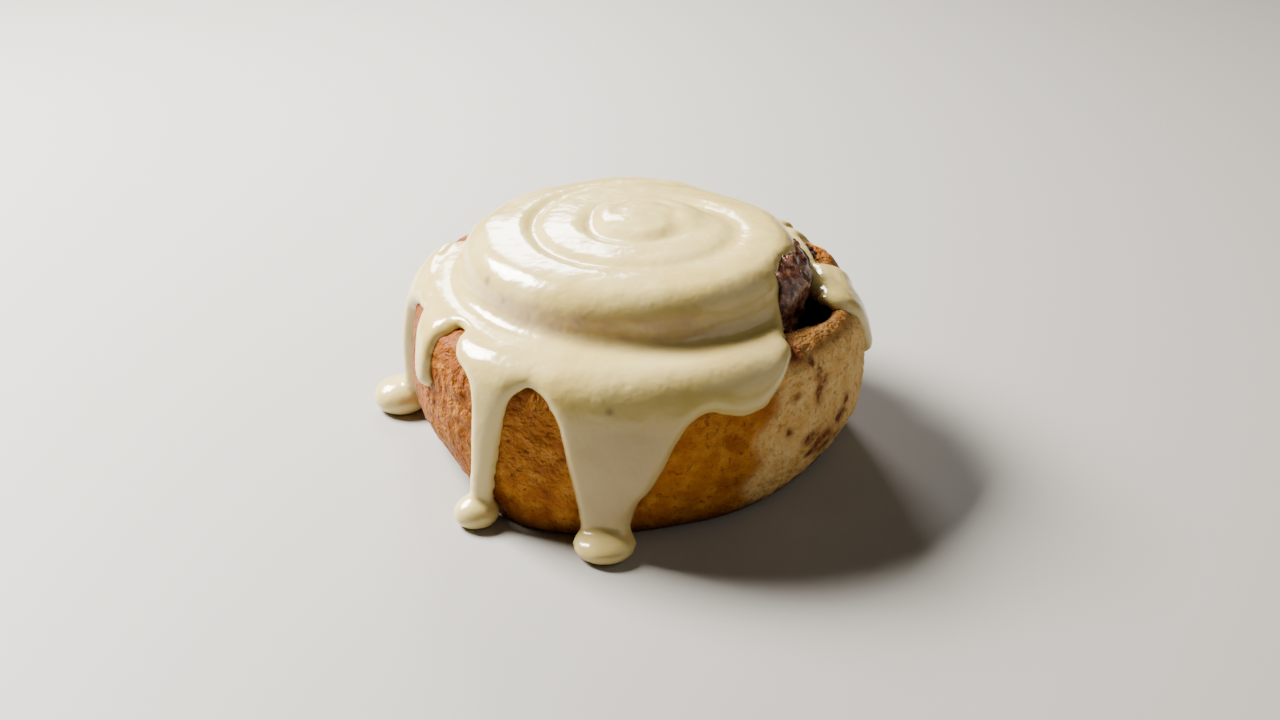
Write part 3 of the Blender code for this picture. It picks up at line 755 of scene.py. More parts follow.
DRIP_RADIUS = 51.0
MELT_TOGETHER = 4.5
print("two equal distances join at", smooth_max(np.array(0.0), np.array(0.0), MELT_TOGETHER))

# %% [markdown]
# The drips differ as poured drips do: a broad one in front that narrows in an even curve, a slim one
# beside it, a short one that stopped half way, and a long one at the far left. The three behind and
# at the right end free too. Each is a short list of stations that one can read off the roll.

# %% Shape of the sheet and its drips
# Lobes of the sheet's lower edge: azimuth, half width and extra depth
SHEET_LOBES = ((26.0, 13.0, 5.2), (12.0, 12.0, 2.0), (36.0, 9.0, 2.4), (-53.0, 11.0, -4.2),
               (-72.0, 7.0, -0.8), (-96.0, 24.0, 1.5), (178.0, 30.0, 2.0), (130.0, 24.0, -1.0))
# Each drip from the top down: height, azimuth and width
DRIPS = {
    "front": ((34.0, -0.5, 34.0), (28.7, -0.6, 28.7), (26.5, -1.0, 25.4), (22.3, -2.0, 21.9),
              (18.7, -2.5, 19.7), (15.6, -3.0, 17.5), (12.8, -3.6, 15.3), (10.8, -4.4, 12.9),
              (8.2, -4.8, 11.2), (4.4, -5.0, 9.8), (1.0, -4.9, 10.6)),
    "front left": ((34.0, -34.5, 15.5), (32.2, -33.4, 12.2), (29.8, -32.3, 10.2), (26.3, -32.7, 8.4),
                   (21.0, -33.5, 7.3), (15.7, -34.4, 6.6), (10.5, -35.3, 5.8), (5.5, -35.9, 5.6),
                   (1.0, -36.2, 6.0)),
    "thin": ((34.2, -63.0, 11.5), (31.5, -62.0, 9.6), (28.0, -60.6, 8.2), (24.0, -60.0, 7.4),
             (21.5, -59.8, 7.0)),
    "left": ((34.0, -91.5, 15.0), (28.0, -93.6, 10.0), (22.0, -94.8, 8.0), (16.0, -96.0, 7.4),
             (10.0, -97.0, 7.2), (4.0, -97.6, 7.2), (1.0, -97.5, 8.0)),
    "behind left": ((34.0, -150.0, 15.0), (27.0, -150.6, 8.0), (20.0, -151.4, 6.4), (14.6, -152.0, 6.2)),
    "behind right": ((34.0, 158.0, 17.0), (26.0, 158.6, 8.6), (17.0, 159.4, 6.6), (9.8, 160.0, 6.6)),
    "right": ((34.8, 77.0, 17.0), (32.5, 78.0, 11.0), (30.0, 79.0, 8.4), (27.0, 79.8, 7.0),
              (21.5, 80.5, 6.0)),
}
# These end in a round tip, the others run into a foot
FREE_ENDS = ("thin", "behind left", "behind right", "right")
print("the glaze has", len(DRIPS), "drips and", len(DRIPS) - len(FREE_ENDS), "feet")

# %% [markdown]
# Four places are bare: a window over the open gap, a seam and a spot behind it, and the raised rim at
# the left. Their outlines are drawn as on a label wrapped round the roll: one way the azimuth, the
# other way the length along the dough's outline, counted from the middle of the top.

# %% Bare places
WINDOW = ((65.0, 34.0), (60.0, 34.8), (57.6, 36.6), (57.0, 39.0), (56.4, 41.5), (54.0, 43.8), (50.0, 46.4),
          (46.6, 48.8), (44.4, 51.0), (43.2, 53.2), (41.6, 55.0), (39.4, 56.6), (35.8, 59.4), (33.0, 61.2),
          (31.0, 66.0), (30.0, 90.0), (75.0, 90.0), (75.4, 66.0), (74.6, 61.2), (72.8, 56.8), (69.8, 54.0),
          (68.6, 51.0), (70.0, 48.4), (74.0, 46.8), (80.0, 46.0), (88.0, 45.6), (94.0, 45.0), (97.5, 43.4),
          (97.0, 41.0), (92.0, 39.4), (84.0, 38.4), (79.0, 36.6), (74.0, 34.8))
SEAM = ((112.0, 45.8), (104.0, 46.3), (98.0, 46.8), (94.5, 47.0), (95.0, 49.2), (99.0, 49.2), (105.0, 48.8),
        (112.0, 47.8))
BARE_SPOT = ((104.5, 50.6), (104.0, 53.6), (99.5, 57.0), (95.0, 53.0), (95.0, 50.2), (99.5, 49.4))
BARE_RIM = ((-110.0, 50.6), (-115.0, 48.0), (-122.0, 47.0), (-129.0, 48.0), (-133.0, 52.0), (-130.0, 60.0),
            (-119.0, 60.0), (-111.0, 56.0))
BARE_PLACES = (WINDOW, SEAM, BARE_SPOT, BARE_RIM)
UNROLLED_RADIUS = 42.0


def bare_distance(azimuth, along):
    """How far a point is inside one of the bare places."""
    wrapped = np.radians((azimuth + 180.0) % 360.0 - 180.0) * UNROLLED_RADIUS
    deepest = np.full(np.shape(along), -FAR_AWAY)
    for outline in BARE_PLACES:
        corners = [(math.radians(corner[0]) * UNROLLED_RADIUS, corner[1]) for corner in outline]
        deepest = np.maximum(deepest, polygon_distance(wrapped, along, corners))
    return deepest


def poured_distance(azimuth, height):
    """How far inside the sheet or a drip a point of the side is. Negative below their edge."""
    inside = sheet_distance(azimuth, height)
    for name, stations in DRIPS.items():
        drip = drip_distance(azimuth, height, stations, name in FREE_ENDS)
        inside = smooth_max(inside, drip, MELT_TOGETHER)
    return inside


# %% Lay the glaze on its outline
DEEP_INSIDE = 20.0
BARE_BLEND = 1.2
glaze_counts = row_counts(over_points, GLAZE_SPACING)
under = smooth_rows(under_points, glaze_counts)
over = smooth_rows(over_points, glaze_counts)
along = np.cumsum(np.linalg.norm(np.diff(under, axis=0, prepend=under[:1]), axis=2), axis=0)
ledge_middle = 0.5 * (crease_radius(glaze_azimuth) + side_radius(glaze_azimuth))
first_row = np.argmax(under[..., 0] > ledge_middle, axis=0)
past_ledge = np.arange(len(under))[:, None] > first_row[None, :]
grid_azimuth = np.broadcast_to(glaze_azimuth, along.shape)
inside = np.where(past_ledge, poured_distance(grid_azimuth, under[..., 1]), DEEP_INSIDE)
inside = -smooth_max(-inside, bare_distance(grid_azimuth, along), BARE_BLEND)
print("glaze lies on", round(100.0 * float((inside > 0.0).mean())), "% of the outline")

# %% [markdown]
# The bead: close to its edge the glaze is as round as a drop, and away from it the thickness is even.
# Soft furrows follow the spiral underneath, because the glaze sinks between the turns.

# %% Thickness of the glaze
BEAD = 2.7
LEDGE_LEVEL = 34.0
fill = np.sqrt(np.clip(1.0 - (1.0 - np.clip(inside / BEAD, 0.0, 1.0)) ** 2, 0.0, 1.0))
drip_height = under[..., 1]
run_down = LEDGE_LEVEL - drip_height
# Drips swell as they run down, the left one from its start, and the sheet is fat at the left shoulder
swollen = 0.40 * smoothstep(run_down, 2.0, 16.0) * past_ledge
swollen = swollen + 0.16 * bump(grid_azimuth, -93.0, 14.0) * smoothstep(run_down, 0.0, 8.0) * past_ledge
left_shoulder = bump(grid_azimuth, -108.0, 26.0) * smoothstep(drip_height, 24.0, 33.0)
swollen = swollen + 0.50 * left_shoulder * past_ledge
uneven = 0.10 * np.sin(np.radians(grid_azimuth * 3.0 + 20.0))
uneven = uneven + 0.06 * np.sin(np.radians(grid_azimuth * 7.0))
full = 1.0 + swollen + uneven * past_ledge
surface = mixed(under, over, (fill * full)[..., None])
print("the glaze swells by", round(100.0 * float(swollen.max())), "% at most")

# %% [markdown]
# On top the glaze follows what lies under it: furrows along the spiral, deep at the left and shallow
# at the right, and fine ripples beside them. In the middle it stands in a low mound with a curled
# fold, because that is where the glaze came down last.

# %% Furrows, ripples and the mound in the middle
MOUND_X = 3.7
MOUND_Y = 3.3
x = surface[..., 0] * np.sin(np.radians(grid_azimuth))
y = -surface[..., 0] * np.cos(np.radians(grid_azimuth))
offset, turn = off_spiral(x, y, -60.0, 700.0)
deep = smoothstep(turn, -60.0, 60.0) * (1.0 - smoothstep(turn, 560.0, 690.0))
to_left = bump(grid_azimuth, -95.0, 80.0)
to_right = bump(grid_azimuth, 75.0, 80.0)
patchy = 0.50 + 0.45 * to_left + 0.25 * bump(grid_azimuth, 170.0, 70.0) + 0.30 * to_right
furrow_middle = -1.4 * to_left
furrow_width = 1.8 + 1.2 * to_right - 0.3 * to_left
on_top = 1.0 - smoothstep(surface[..., 0], 24.0, 32.0)
furrow = 1.35 * deep * patchy * np.exp(-((offset - furrow_middle) / furrow_width) ** 2)
ripple = 0.16 * on_top * np.exp(-((np.abs(offset) - 5.0) / 1.3) ** 2)
from_mound = np.hypot(x - MOUND_X, y - MOUND_Y)
mound = 0.5 * (1.0 - smoothstep(from_mound, 8.5, 12.5)) - 0.35 * np.exp(-((from_mound - 14.0) / 2.2) ** 2)
fold = 0.5 * np.exp(-((from_mound - 6.2) / 0.9) ** 2) * bump(grid_azimuth, 170.0, 110.0)
surface[..., 1] = surface[..., 1] - (furrow + ripple + fold) * (surface[..., 0] < 33.0) + mound
print("glaze is", round(float(surface[..., 1].max()), 1), "mm high at most")

# %% [markdown]
# The grid covers the whole roll. The faces that lie outside the glaze are picked by their distance
# and deleted in edit mode. Cutting with Boolean would leave a jagged rim, because the edge runs nearly
# along the surface. Then the seam is merged, and the sheet is turned face up if need be.

# %% Make the sheet and cut away what is bare
COVERED_FROM = 0.02
surface[:, -1] = surface[:, 0]
glaze = add_grid("glaze_pour", round_axis(glaze_azimuth[None, :], surface[..., 0], surface[..., 1]))
quads = np.array([face.vertices[:] for face in glaze.data.polygons])
covered = (inside.reshape(-1)[quads] > COVERED_FROM).any(axis=1)
select_only(glaze)
bpy.ops.object.mode_set(mode="EDIT")
bpy.ops.mesh.select_all(action="DESELECT")
bpy.ops.mesh.select_mode(type="FACE")
bpy.ops.object.mode_set(mode="OBJECT")
glaze.data.polygons.foreach_set("select", (~covered).tolist())
bpy.ops.object.mode_set(mode="EDIT")
bpy.ops.mesh.delete(type="FACE")
bpy.ops.mesh.select_all(action="SELECT")
bpy.ops.mesh.remove_doubles(threshold=0.00002)
bpy.ops.object.mode_set(mode="OBJECT")
top_face = max(glaze.data.polygons, key=lambda face: face.center.z)
if top_face.normal.z < 0.0:
    bpy.ops.object.mode_set(mode="EDIT")
    bpy.ops.mesh.select_all(action="SELECT")
    bpy.ops.mesh.flip_normals()
    bpy.ops.object.mode_set(mode="OBJECT")
report(glaze)

# %% [markdown]
# At the back of the gap a band of glaze has slid down from the coil to the ledge. A bevelled curve
# through a few points is the quickest way to such a band. It is made a mesh and joined to the sheet,
# so that the two melt together below.

# %% Band of glaze over the gap
BAND_THICK = 1.5
# Azimuth, distance from the axis and height of its five points, and how much wider it is at each
BAND = ((97.5, 30.0, 42.4), (91.5, 33.9, 42.0), (86.0, 36.3, 39.2), (81.0, 38.2, 36.6), (77.5, 40.4, 34.4))
BAND_WIDTHS = (1.5, 1.3, 1.05, 1.1, 1.8)
deselect()
bpy.ops.curve.primitive_nurbs_path_add(radius=0.01)
band = bpy.context.active_object
spline = band.data.splines[0]
for point, station, wide in zip(spline.points, BAND, BAND_WIDTHS):
    point.co = (*one_place(*station), 1.0)
    point.radius = wide
band.data.bevel_depth = BAND_THICK * MM
band.data.bevel_resolution = 4
band.data.use_fill_caps = True
band.data.resolution_u = 12
select_only(band)
bpy.ops.object.convert(target="MESH")
band = bpy.context.active_object
bpy.ops.object.transform_apply(location=True, rotation=True, scale=True)
merge_seams(band, 0.000002)
report(band)

# %% [markdown]
# The sheet gets its thickness from Solidify, downwards into the dough. The feet are squashed
# spheres with a flat bottom. All of it is joined, and a voxel Remesh melts the parts into one
# closed skin, which a Smooth modifier then relaxes, as the real glaze levels itself.

# %% Thickness and feet
SHEET_THICK = 2.3
# Feet: azimuth, distance from the axis, diameter and height
FEET = ((-4.8, 51.8, 12.3, 5.0), (-36.2, 50.5, 9.2, 5.6), (-97.5, 51.1, 12.4, 7.0))
# The sphere's middle lies a little low and the table cuts off its lowest part
FOOT_MIDDLE = 0.42
FOOT_HALF_HEIGHT = 0.58


def join_to_glaze(piece):
    select_only(piece)
    glaze.select_set(True)
    bpy.context.view_layer.objects.active = glaze
    bpy.ops.object.join()


apply_modifier(glaze, "thickness", "SOLIDIFY", thickness=SHEET_THICK * MM, offset=-1.0, use_rim=True)
for foot_azimuth, distance, diameter, tall in FEET:
    deselect()
    bpy.ops.mesh.primitive_uv_sphere_add(segments=48, ring_count=24, radius=0.5 * diameter * MM,
                                         location=one_place(foot_azimuth, distance, FOOT_MIDDLE * tall))
    foot = bpy.context.active_object
    bpy.ops.transform.resize(value=(1.0, 1.0, FOOT_HALF_HEIGHT * tall / (0.5 * diameter)))
    bpy.ops.object.transform_apply(location=True, rotation=True, scale=True)
    join_to_glaze(foot)
join_to_glaze(band)
keep_above_table(glaze)
report(glaze)

# %% One skin for the whole glaze
apply_modifier(glaze, "one_skin", "REMESH", mode="VOXEL", voxel_size=0.58 * MM)
apply_modifier(glaze, "level", "SMOOTH", factor=0.5, iterations=8)
keep_above_table(glaze)
roughen(glaze, "unevenness", 9.0, 0.35)
keep_above_table(glaze)
select_only(glaze)
bpy.ops.object.shade_smooth()
report(glaze)

# %% [markdown]
# On the band the glaze is so thin that the dough shines through; on the coil's wall it does so in
# patches over a painted shade on the wall's front. The broad front drip gets a painted shade all over.
# Real translucent icing over the real crust would be slow to render and noisy, so the share of crust
# that shines through and the painted shade are numbers on the vertices.

# %% Thin places and painted shade
places = vertex_array(glaze)
azimuth, radius = azimuth_and_radius(places)
height = places[:, 2]
on_wall = smoothstep(height, 36.8, 38.6) * (1.0 - smoothstep(height, 40.6, 44.2)) * (radius < 40.0)
# On the front of the coil's wall this is painted shade as well as thin glaze over the dough
thin_and_shaded_wall = np.minimum(1.6 * bump(azimuth, -12.0, 70.0), 1.0) * on_wall
on_band = np.exp(-((height - 41.0) / 3.0) ** 2) * bump(azimuth, 90.0, 14.0)
store(glaze, "thin", np.maximum(thin_and_shaded_wall, 0.6 * on_band))
# Painted shade over the broad front drip, a brown mixed into its cream
front_drip_shade_share = bump(azimuth, -1.0, 26.0) * smoothstep(31.5 - height, 0.0, 7.0) * smoothstep(height, 3.0, 9.0)
store(glaze, "front_drip_shade", 0.55 * front_drip_shade_share)
print("thin places:", int((thin_and_shaded_wall > 0.3).sum()), "vertices")

# %% [markdown]
# A few bubbles burst as the glaze set and left small dark pits. They are under a millimetre wide, so
# a soft dark spot at each is enough and no hole is cut.

# %% Burst bubbles
# X, Y, Z and half width of each
PITS = ((-3.2, -50.9, 30.3, 0.75), (-11.5, -9.5, 47.6, 0.6), (-27.8, -20.2, 42.9, 0.95),
        (-24.3, -25.4, 41.1, 0.75), (-25.5, -20.2, 45.3, 0.5))
pits = np.zeros(len(places))
for *middle, wide in PITS:
    away = np.linalg.norm(places - np.array(middle), axis=1)
    pits = np.maximum(pits, np.exp(-(away / wide) ** 2))
store(glaze, "pits", pits)
print("pits:", int((pits > 0.4).sum()), "vertices")

# %% [markdown]
# Materials. Nothing baked has one even colour: crust, filling and glaze all vary in patches of some
# size. Painting or photographs could do it too, but noise in the material has no seams and no limit
# of detail. The effect is one node group, shared by all three: it reads the Object coordinates, makes
# a noise of a size in millimetres and gives a mask.

# %% Node group for uneven patches
patches = bpy.data.node_groups.new("uneven_patches", "ShaderNodeTree")
patches.interface.new_socket("Size in mm", in_out="INPUT", socket_type="NodeSocketFloat")
patches.interface.new_socket("Detail", in_out="INPUT", socket_type="NodeSocketFloat")
patches.interface.new_socket("From", in_out="INPUT", socket_type="NodeSocketFloat")
patches.interface.new_socket("To", in_out="INPUT", socket_type="NodeSocketFloat")
patches.interface.new_socket("Mask", in_out="OUTPUT", socket_type="NodeSocketFloat")


def new_node(tree, kind, **settings):
    node = tree.nodes.new(kind)
    for key, value in settings.items():
        setattr(node, key, value)
    return node


def wire(tree, pairs):
    for source, target in pairs:
        tree.links.new(source, target)


group_in = new_node(patches, "NodeGroupInput")
group_out = new_node(patches, "NodeGroupOutput")
coordinates = new_node(patches, "ShaderNodeTexCoord")
per_size = new_node(patches, "ShaderNodeMath", operation="DIVIDE")
per_size.inputs[0].default_value = 1.0 / MM
noise = new_node(patches, "ShaderNodeTexNoise")
noise.inputs["Roughness"].default_value = 0.6
spread = new_node(patches, "ShaderNodeMapRange")
wire(patches, ((group_in.outputs["Size in mm"], per_size.inputs[1]),
               (per_size.outputs[0], noise.inputs["Scale"]),
               (group_in.outputs["Detail"], noise.inputs["Detail"]),
               (coordinates.outputs["Object"], noise.inputs["Vector"]),
               (noise.outputs["Fac"], spread.inputs["Value"]),
               (group_in.outputs["From"], spread.inputs["From Min"]),
               (group_in.outputs["To"], spread.inputs["From Max"]),
               (spread.outputs["Result"], group_out.inputs["Mask"])))
print("node group with", len(patches.nodes), "nodes")


# %% Short ways to build a material
# Sockets of a Mix node that mixes colours
FIRST_COLOUR = 6
SECOND_COLOUR = 7
MIXED_COLOUR = 2


def new_material(name, roughness):
    made = bpy.data.materials.new(name)
    made.use_nodes = True
    shader = made.node_tree.nodes["Principled BSDF"]
    shader.inputs["Roughness"].default_value = roughness
    return made, made.node_tree, shader


def patch_mask(tree, size, detail, low, high):
    """The mask of uneven patches at a size in millimetres."""
    node = new_node(tree, "ShaderNodeGroup", node_tree=patches)
    for name, value in (("Size in mm", size), ("Detail", detail), ("From", low), ("To", high)):
        node.inputs[name].default_value = value
    return node.outputs["Mask"]


def mix_colours(tree, mask, first, second):
    """A colour between two, each a plain colour or another node's output."""
    node = new_node(tree, "ShaderNodeMix", data_type="RGBA")
    tree.links.new(mask, node.inputs["Factor"])
    for number, colour in ((FIRST_COLOUR, first), (SECOND_COLOUR, second)):
        if isinstance(colour, tuple):
            node.inputs[number].default_value = (*colour, 1.0)
        else:
            tree.links.new(colour, node.inputs[number])
    return node.outputs[MIXED_COLOUR]


def change_range(tree, value, before, after):
    """A value moved from one range to another and kept inside it."""
    node = new_node(tree, "ShaderNodeMapRange")
    ends = (("From Min", before[0]), ("From Max", before[1]), ("To Min", after[0]), ("To Max", after[1]))
    for name, end in ends:
        node.inputs[name].default_value = end
    tree.links.new(value, node.inputs["Value"])
    return node.outputs["Result"]


def combine_values(tree, operation, first, second):
    node = new_node(tree, "ShaderNodeMath", operation=operation, use_clamp=True)
    for socket, value in zip(node.inputs, (first, second)):
        if isinstance(value, float):
            socket.default_value = value
        else:
            tree.links.new(value, socket)
    return node.outputs[0]


def mark(tree, name):
    """A number that is stored on the mesh's vertices."""
    return new_node(tree, "ShaderNodeAttribute", attribute_name=name).outputs["Fac"]


def add_bump(tree, shader, layers):
    """Bump nodes one after another: each layer is a height and its depth in millimetres."""
    normal = None
    for height, depth in layers:
        node = new_node(tree, "ShaderNodeBump")
        node.inputs["Strength"].default_value = 1.0
        node.inputs["Distance"].default_value = depth * MM
        tree.links.new(height, node.inputs["Height"])
        if normal:
            tree.links.new(normal, node.inputs["Normal"])
        normal = node.outputs["Normal"]
    tree.links.new(normal, shader.inputs["Normal"])


# %% [markdown]
# Crust goes from gold over caramel to nearly black as its sugar browns. Here two browns change over
# in broad patches, and lighter flecks and darker specks lie on them. Numbers on the vertices add painted
# shade under the rim and at the left, where the key light falls strongest.

# %% Colours of the crust
CARAMEL = (0.30, 0.086, 0.008)
LIGHT_CARAMEL = (0.44, 0.155, 0.016)
GOLD = (0.58, 0.25, 0.040)
DARK_SPECK = (0.22, 0.055, 0.006)
SHADED_BROWN = (0.11, 0.024, 0.003)
LEFT_SHADE_BROWN = (0.155, 0.034, 0.0008)
crust, tree, shader = new_material("baked_dough", 0.5)
broad = patch_mask(tree, 9.0, 2.0, 0.36, 0.64)
flecks = patch_mask(tree, 3.2, 3.0, 0.44, 0.66)
specks = patch_mask(tree, 1.6, 3.0, 0.52, 0.72)
brown = mix_colours(tree, broad, CARAMEL, LIGHT_CARAMEL)
brown = mix_colours(tree, flecks, brown, GOLD)
brown = mix_colours(tree, specks, brown, DARK_SPECK)
# Painted shade under the rim
rim_shade = combine_values(tree, "MULTIPLY", mark(tree, "shade_under_rim"), 0.55)
brown = mix_colours(tree, rim_shade, brown, SHADED_BROWN)
# Painted shade at the left, where the key light falls strongest
left_shade = combine_values(tree, "MULTIPLY", mark(tree, "painted_left_shade"), 0.88)
brown = mix_colours(tree, left_shade, brown, LEFT_SHADE_BROWN)
print("crust in", len(tree.nodes), "nodes so far")

# %% [markdown]
# The torn side shows pale, soft crumb. Over crust and crumb lie a dark, sugary edge at the base, the
# stains of filling and the painted shade of the gap with a ragged edge, and the smears. Stains with gap
# shade, and smears, are both roughened by noise, because a soft number alone would look airbrushed.

# %% Crumb, stains with painted gap shade, and smears
PALE_CRUMB = (0.80, 0.55, 0.22)
WARM_CRUMB = (0.68, 0.39, 0.12)
CRUMB_SPECK = (0.46, 0.22, 0.06)
SUGARY_EDGE = (0.10, 0.025, 0.008)
# Near-black of the stains, and of the painted shade in the gap
STAIN_AND_GAP_SHADE = (0.014, 0.004, 0.002)
SMEAR = (0.17, 0.050, 0.018)
crumb = mix_colours(tree, patch_mask(tree, 4.0, 3.0, 0.35, 0.65), PALE_CRUMB, WARM_CRUMB)
crumb = mix_colours(tree, patch_mask(tree, 1.1, 3.0, 0.52, 0.72), crumb, CRUMB_SPECK)
torn_mask = mark(tree, "torn")
colour = mix_colours(tree, torn_mask, brown, crumb)
edge_mask = combine_values(tree, "MULTIPLY", mark(tree, "base_edge"), 0.9)
colour = mix_colours(tree, edge_mask, colour, SUGARY_EDGE)
fraying = combine_values(tree, "MULTIPLY", patch_mask(tree, 1.5, 3.0, 0.4, 0.7), 0.35)
frayed_stain_and_shade = combine_values(tree, "ADD", mark(tree, "stain_and_gap_shade"), fraying)
stain_and_shade_mask = change_range(tree, frayed_stain_and_shade, (0.45, 0.75), (0.0, 1.0))
colour = mix_colours(tree, stain_and_shade_mask, colour, STAIN_AND_GAP_SHADE)
ragged = combine_values(tree, "MULTIPLY", mark(tree, "smear"), patch_mask(tree, 2.4, 4.0, 0.24, 0.54))
colour = mix_colours(tree, ragged, colour, SMEAR)
tree.links.new(colour, shader.inputs["Base Color"])

# %% [markdown]
# Crust has a faint sheen from the butter and crumb has none. Fine bumps too small for the mesh, such
# as wrinkles and pores, are left to Bump.

# %% Sheen and fine bumps of the dough
shader.inputs["Specular IOR Level"].default_value = 0.07
tree.links.new(change_range(tree, torn_mask, (0.0, 1.0), (0.44, 0.8)), shader.inputs["Roughness"])
add_bump(tree, shader, ((patch_mask(tree, 1.9, 2.0, 0.34, 0.66), 0.45), (specks, 0.12),
                        (patch_mask(tree, 0.35, 2.0, 0.3, 0.7), 0.05)))
print("dough with", len(tree.nodes), "nodes")

# %% [markdown]
# The filling is sugar syrup with cinnamon in it: nearly black where it is thick, red-brown where it
# is thin, with dull pinkish grains. Its wet shine is a clear coat over a smooth surface.

# %% Material of the filling
THICK_SYRUP = (0.050, 0.014, 0.007)
THIN_SYRUP = (0.19, 0.055, 0.020)
SUGAR_GRAIN = (0.40, 0.20, 0.15)
sticky, tree, shader = new_material("cinnamon_filling", 0.28)
dark = mix_colours(tree, patch_mask(tree, 3.0, 3.0, 0.38, 0.62), THICK_SYRUP, THIN_SYRUP)
dark = mix_colours(tree, patch_mask(tree, 1.5, 4.0, 0.48, 0.66), dark, SUGAR_GRAIN)
tree.links.new(dark, shader.inputs["Base Color"])
shader.inputs["Coat Weight"].default_value = 0.6
shader.inputs["Coat Roughness"].default_value = 0.15
add_bump(tree, shader, ((patch_mask(tree, 1.4, 4.0, 0.3, 0.7), 0.3),))
print("filling with", len(tree.nodes), "nodes")

# %% [markdown]
# The glaze is cream coloured, and light goes a little way into it, which softens its shadows. That is
# Subsurface with a small radius. The gloss is a clear coat. Where the glaze is thin the colour of the
# dough under it is mixed in, and a brown is mixed in as painted shade on the coil's wall and the front
# drip.

# %% Material of the glaze
CREAM = (0.635, 0.490, 0.158)
PALE_CREAM = (0.70, 0.565, 0.225)
OVER_CRUMB_AND_SHADE = (0.49, 0.36, 0.235)
DRIP_SHADE_BROWN = (0.36, 0.235, 0.105)
BURST_BUBBLE = (0.22, 0.15, 0.09)
icing, tree, shader = new_material("cream_glaze", 0.2)
cream = mix_colours(tree, patch_mask(tree, 14.0, 2.0, 0.35, 0.65), CREAM, PALE_CREAM)
thinner = combine_values(tree, "MULTIPLY", patch_mask(tree, 3.6, 3.0, 0.40, 0.60), 0.4)
thinner = combine_values(tree, "ADD", thinner, 0.45)
# Dough showing through thin glaze, and painted shade on the front of the coil's wall
thin_and_shade_mask = combine_values(tree, "MULTIPLY", mark(tree, "thin"), thinner)
cream = mix_colours(tree, thin_and_shade_mask, cream, OVER_CRUMB_AND_SHADE)
pit_mask = combine_values(tree, "MULTIPLY", mark(tree, "pits"), 0.75)
cream = mix_colours(tree, pit_mask, cream, BURST_BUBBLE)
# Painted shade on the front drip
cream = mix_colours(tree, mark(tree, "front_drip_shade"), cream, DRIP_SHADE_BROWN)
tree.links.new(cream, shader.inputs["Base Color"])
shader.inputs["Subsurface Weight"].default_value = 0.3
shader.inputs["Subsurface Radius"].default_value = (1.0, 0.7, 0.4)
shader.inputs["Subsurface Scale"].default_value = 1.5 * MM
shader.inputs["Coat Weight"].default_value = 0.4
shader.inputs["Coat Roughness"].default_value = 0.11
add_bump(tree, shader, ((patch_mask(tree, 5.0, 2.0, 0.3, 0.7), 0.12),
                        (patch_mask(tree, 0.9, 2.0, 0.3, 0.7), 0.015)))
print("glaze with", len(tree.nodes), "nodes")

# %% [markdown]
# Each finished piece gets its material, rides on the roll's one body, and takes the place of the plain
# solid that it was modelled over.


# %% Give the materials and tie each piece to the frame
def dress(piece, material, node):
    piece.data.materials.clear()
    piece.data.materials.append(material)
    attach(piece, "root")
    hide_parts(node)


dress(dough, crust, "dough")
dress(filling, sticky, "filling")
dress(glaze, icing, "glaze")
print("dressed:", dough.name, filling.name, glaze.name)

# %% [markdown]
# The studio is a plain pale floor, which also throws light back up at the sides of the roll.

# %% Floor
deselect()
bpy.ops.mesh.primitive_plane_add(size=4.0, location=(0.0, 0.0, 0.0))
floor = bpy.context.active_object
floor.name = "floor"
floor_paint, tree, shader = new_material("pale_floor", 0.6)
shader.inputs["Base Color"].default_value = (0.35, 0.34, 0.32, 1.0)
floor.data.materials.append(floor_paint)
print("floor of", tuple(floor.dimensions), "m")

# %% [markdown]
# A large soft light from the upper left and behind makes the broad highlights on the glaze and leaves
# the front in half shade. A weaker one behind draws the far edge, a broad, faint, warm one fills the
# right side, and the world is only just bright enough to keep the gap from going black.


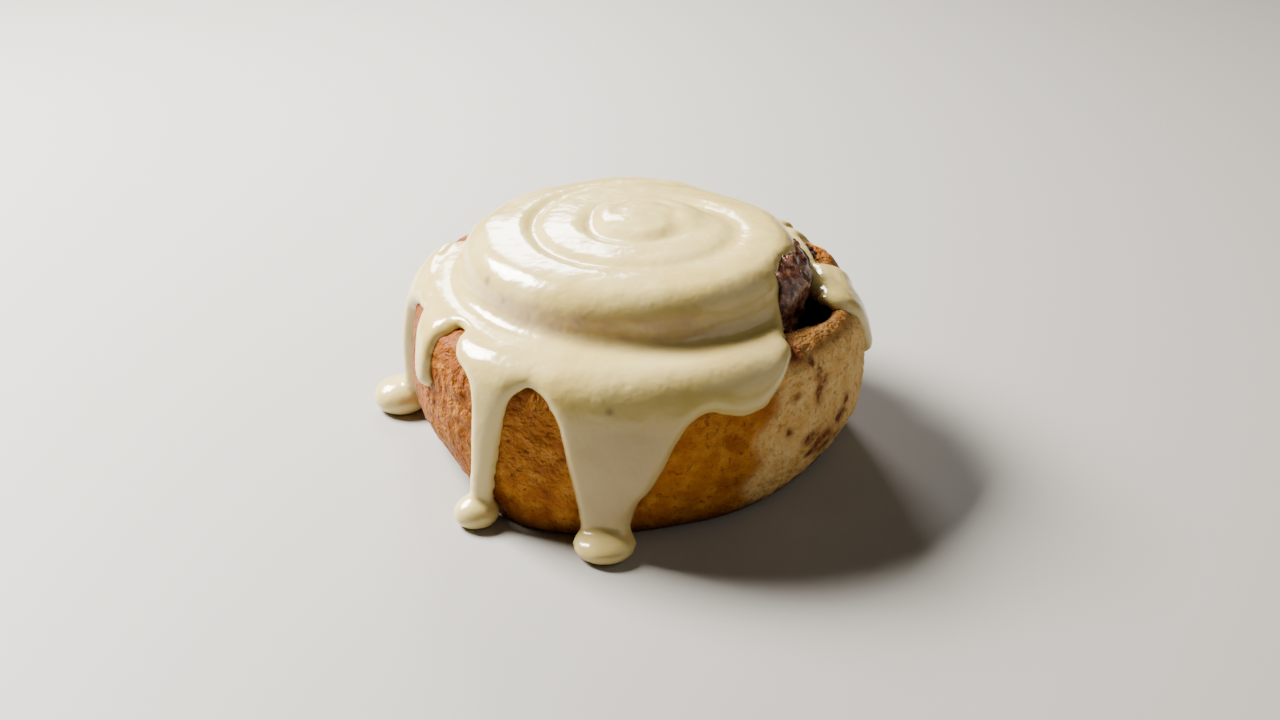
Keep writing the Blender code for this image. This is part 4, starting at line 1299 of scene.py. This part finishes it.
# %% Lights
def add_light(name, place, size, power, colour):
    """A square area light that looks at the roll."""
    deselect()
    bpy.ops.object.light_add(type="AREA", location=place)
    lamp = bpy.context.active_object
    lamp.name = name
    lamp.data.size = size
    lamp.data.energy = power
    lamp.data.color = colour
    aim = bpy.data.objects["aim"]
    track = lamp.constraints.new("TRACK_TO")
    track.target = aim
    track.track_axis = "TRACK_NEGATIVE_Z"
    track.up_axis = "UP_Y"


bpy.ops.object.empty_add(location=(0.0, 0.0, 0.025))
bpy.context.active_object.name = "aim"
add_light("key_light", (-0.38, 0.21, 0.41), 0.24, 24.0, (1.0, 0.96, 0.89))
add_light("rim_light", (-0.10, 0.52, 0.30), 0.14, 2.2, (1.0, 0.98, 0.95))
add_light("right_light", (0.52, -0.16, 0.34), 0.6, 0.95, (1.0, 0.92, 0.80))
world = bpy.data.worlds.new("soft_studio")
world.use_nodes = True
world.node_tree.nodes["Background"].inputs["Color"].default_value = (0.86, 0.79, 0.68, 1.0)
world.node_tree.nodes["Background"].inputs["Strength"].default_value = 0.03
bpy.context.scene.world = world

# %% [markdown]
# The camera looks down at the roll by about 27 degrees from 350 mm away, as one would over a table.
# Its place is worked out from where it looks, how far off it is and how steeply, so a change of one
# of these moves nothing else.

# %% Camera
CAMERA_AIM = np.array((2.38, 0.0, 15.0))
CAMERA_DISTANCE = 350.0
CAMERA_ELEVATION = math.radians(27.1)
SENSOR_WIDTH = 36.0
FOCAL_PIXELS = 1621.6
PHOTO_WIDTH = 1280.0
LENS = FOCAL_PIXELS / PHOTO_WIDTH * SENSOR_WIDTH
towards_camera = np.array((0.0, -math.cos(CAMERA_ELEVATION), math.sin(CAMERA_ELEVATION)))
camera_place = CAMERA_AIM + CAMERA_DISTANCE * towards_camera
deselect()
bpy.ops.object.camera_add(location=(camera_place * MM).tolist(),
                          rotation=(math.radians(90.0) - CAMERA_ELEVATION, 0.0, 0.0))
camera = bpy.context.active_object
camera.name = "photo_camera"
camera.data.sensor_width = SENSOR_WIDTH
camera.data.lens = LENS
bpy.context.scene.camera = camera
print("camera at", np.round(camera_place, 1), "mm with a lens of", round(LENS, 1), "mm")
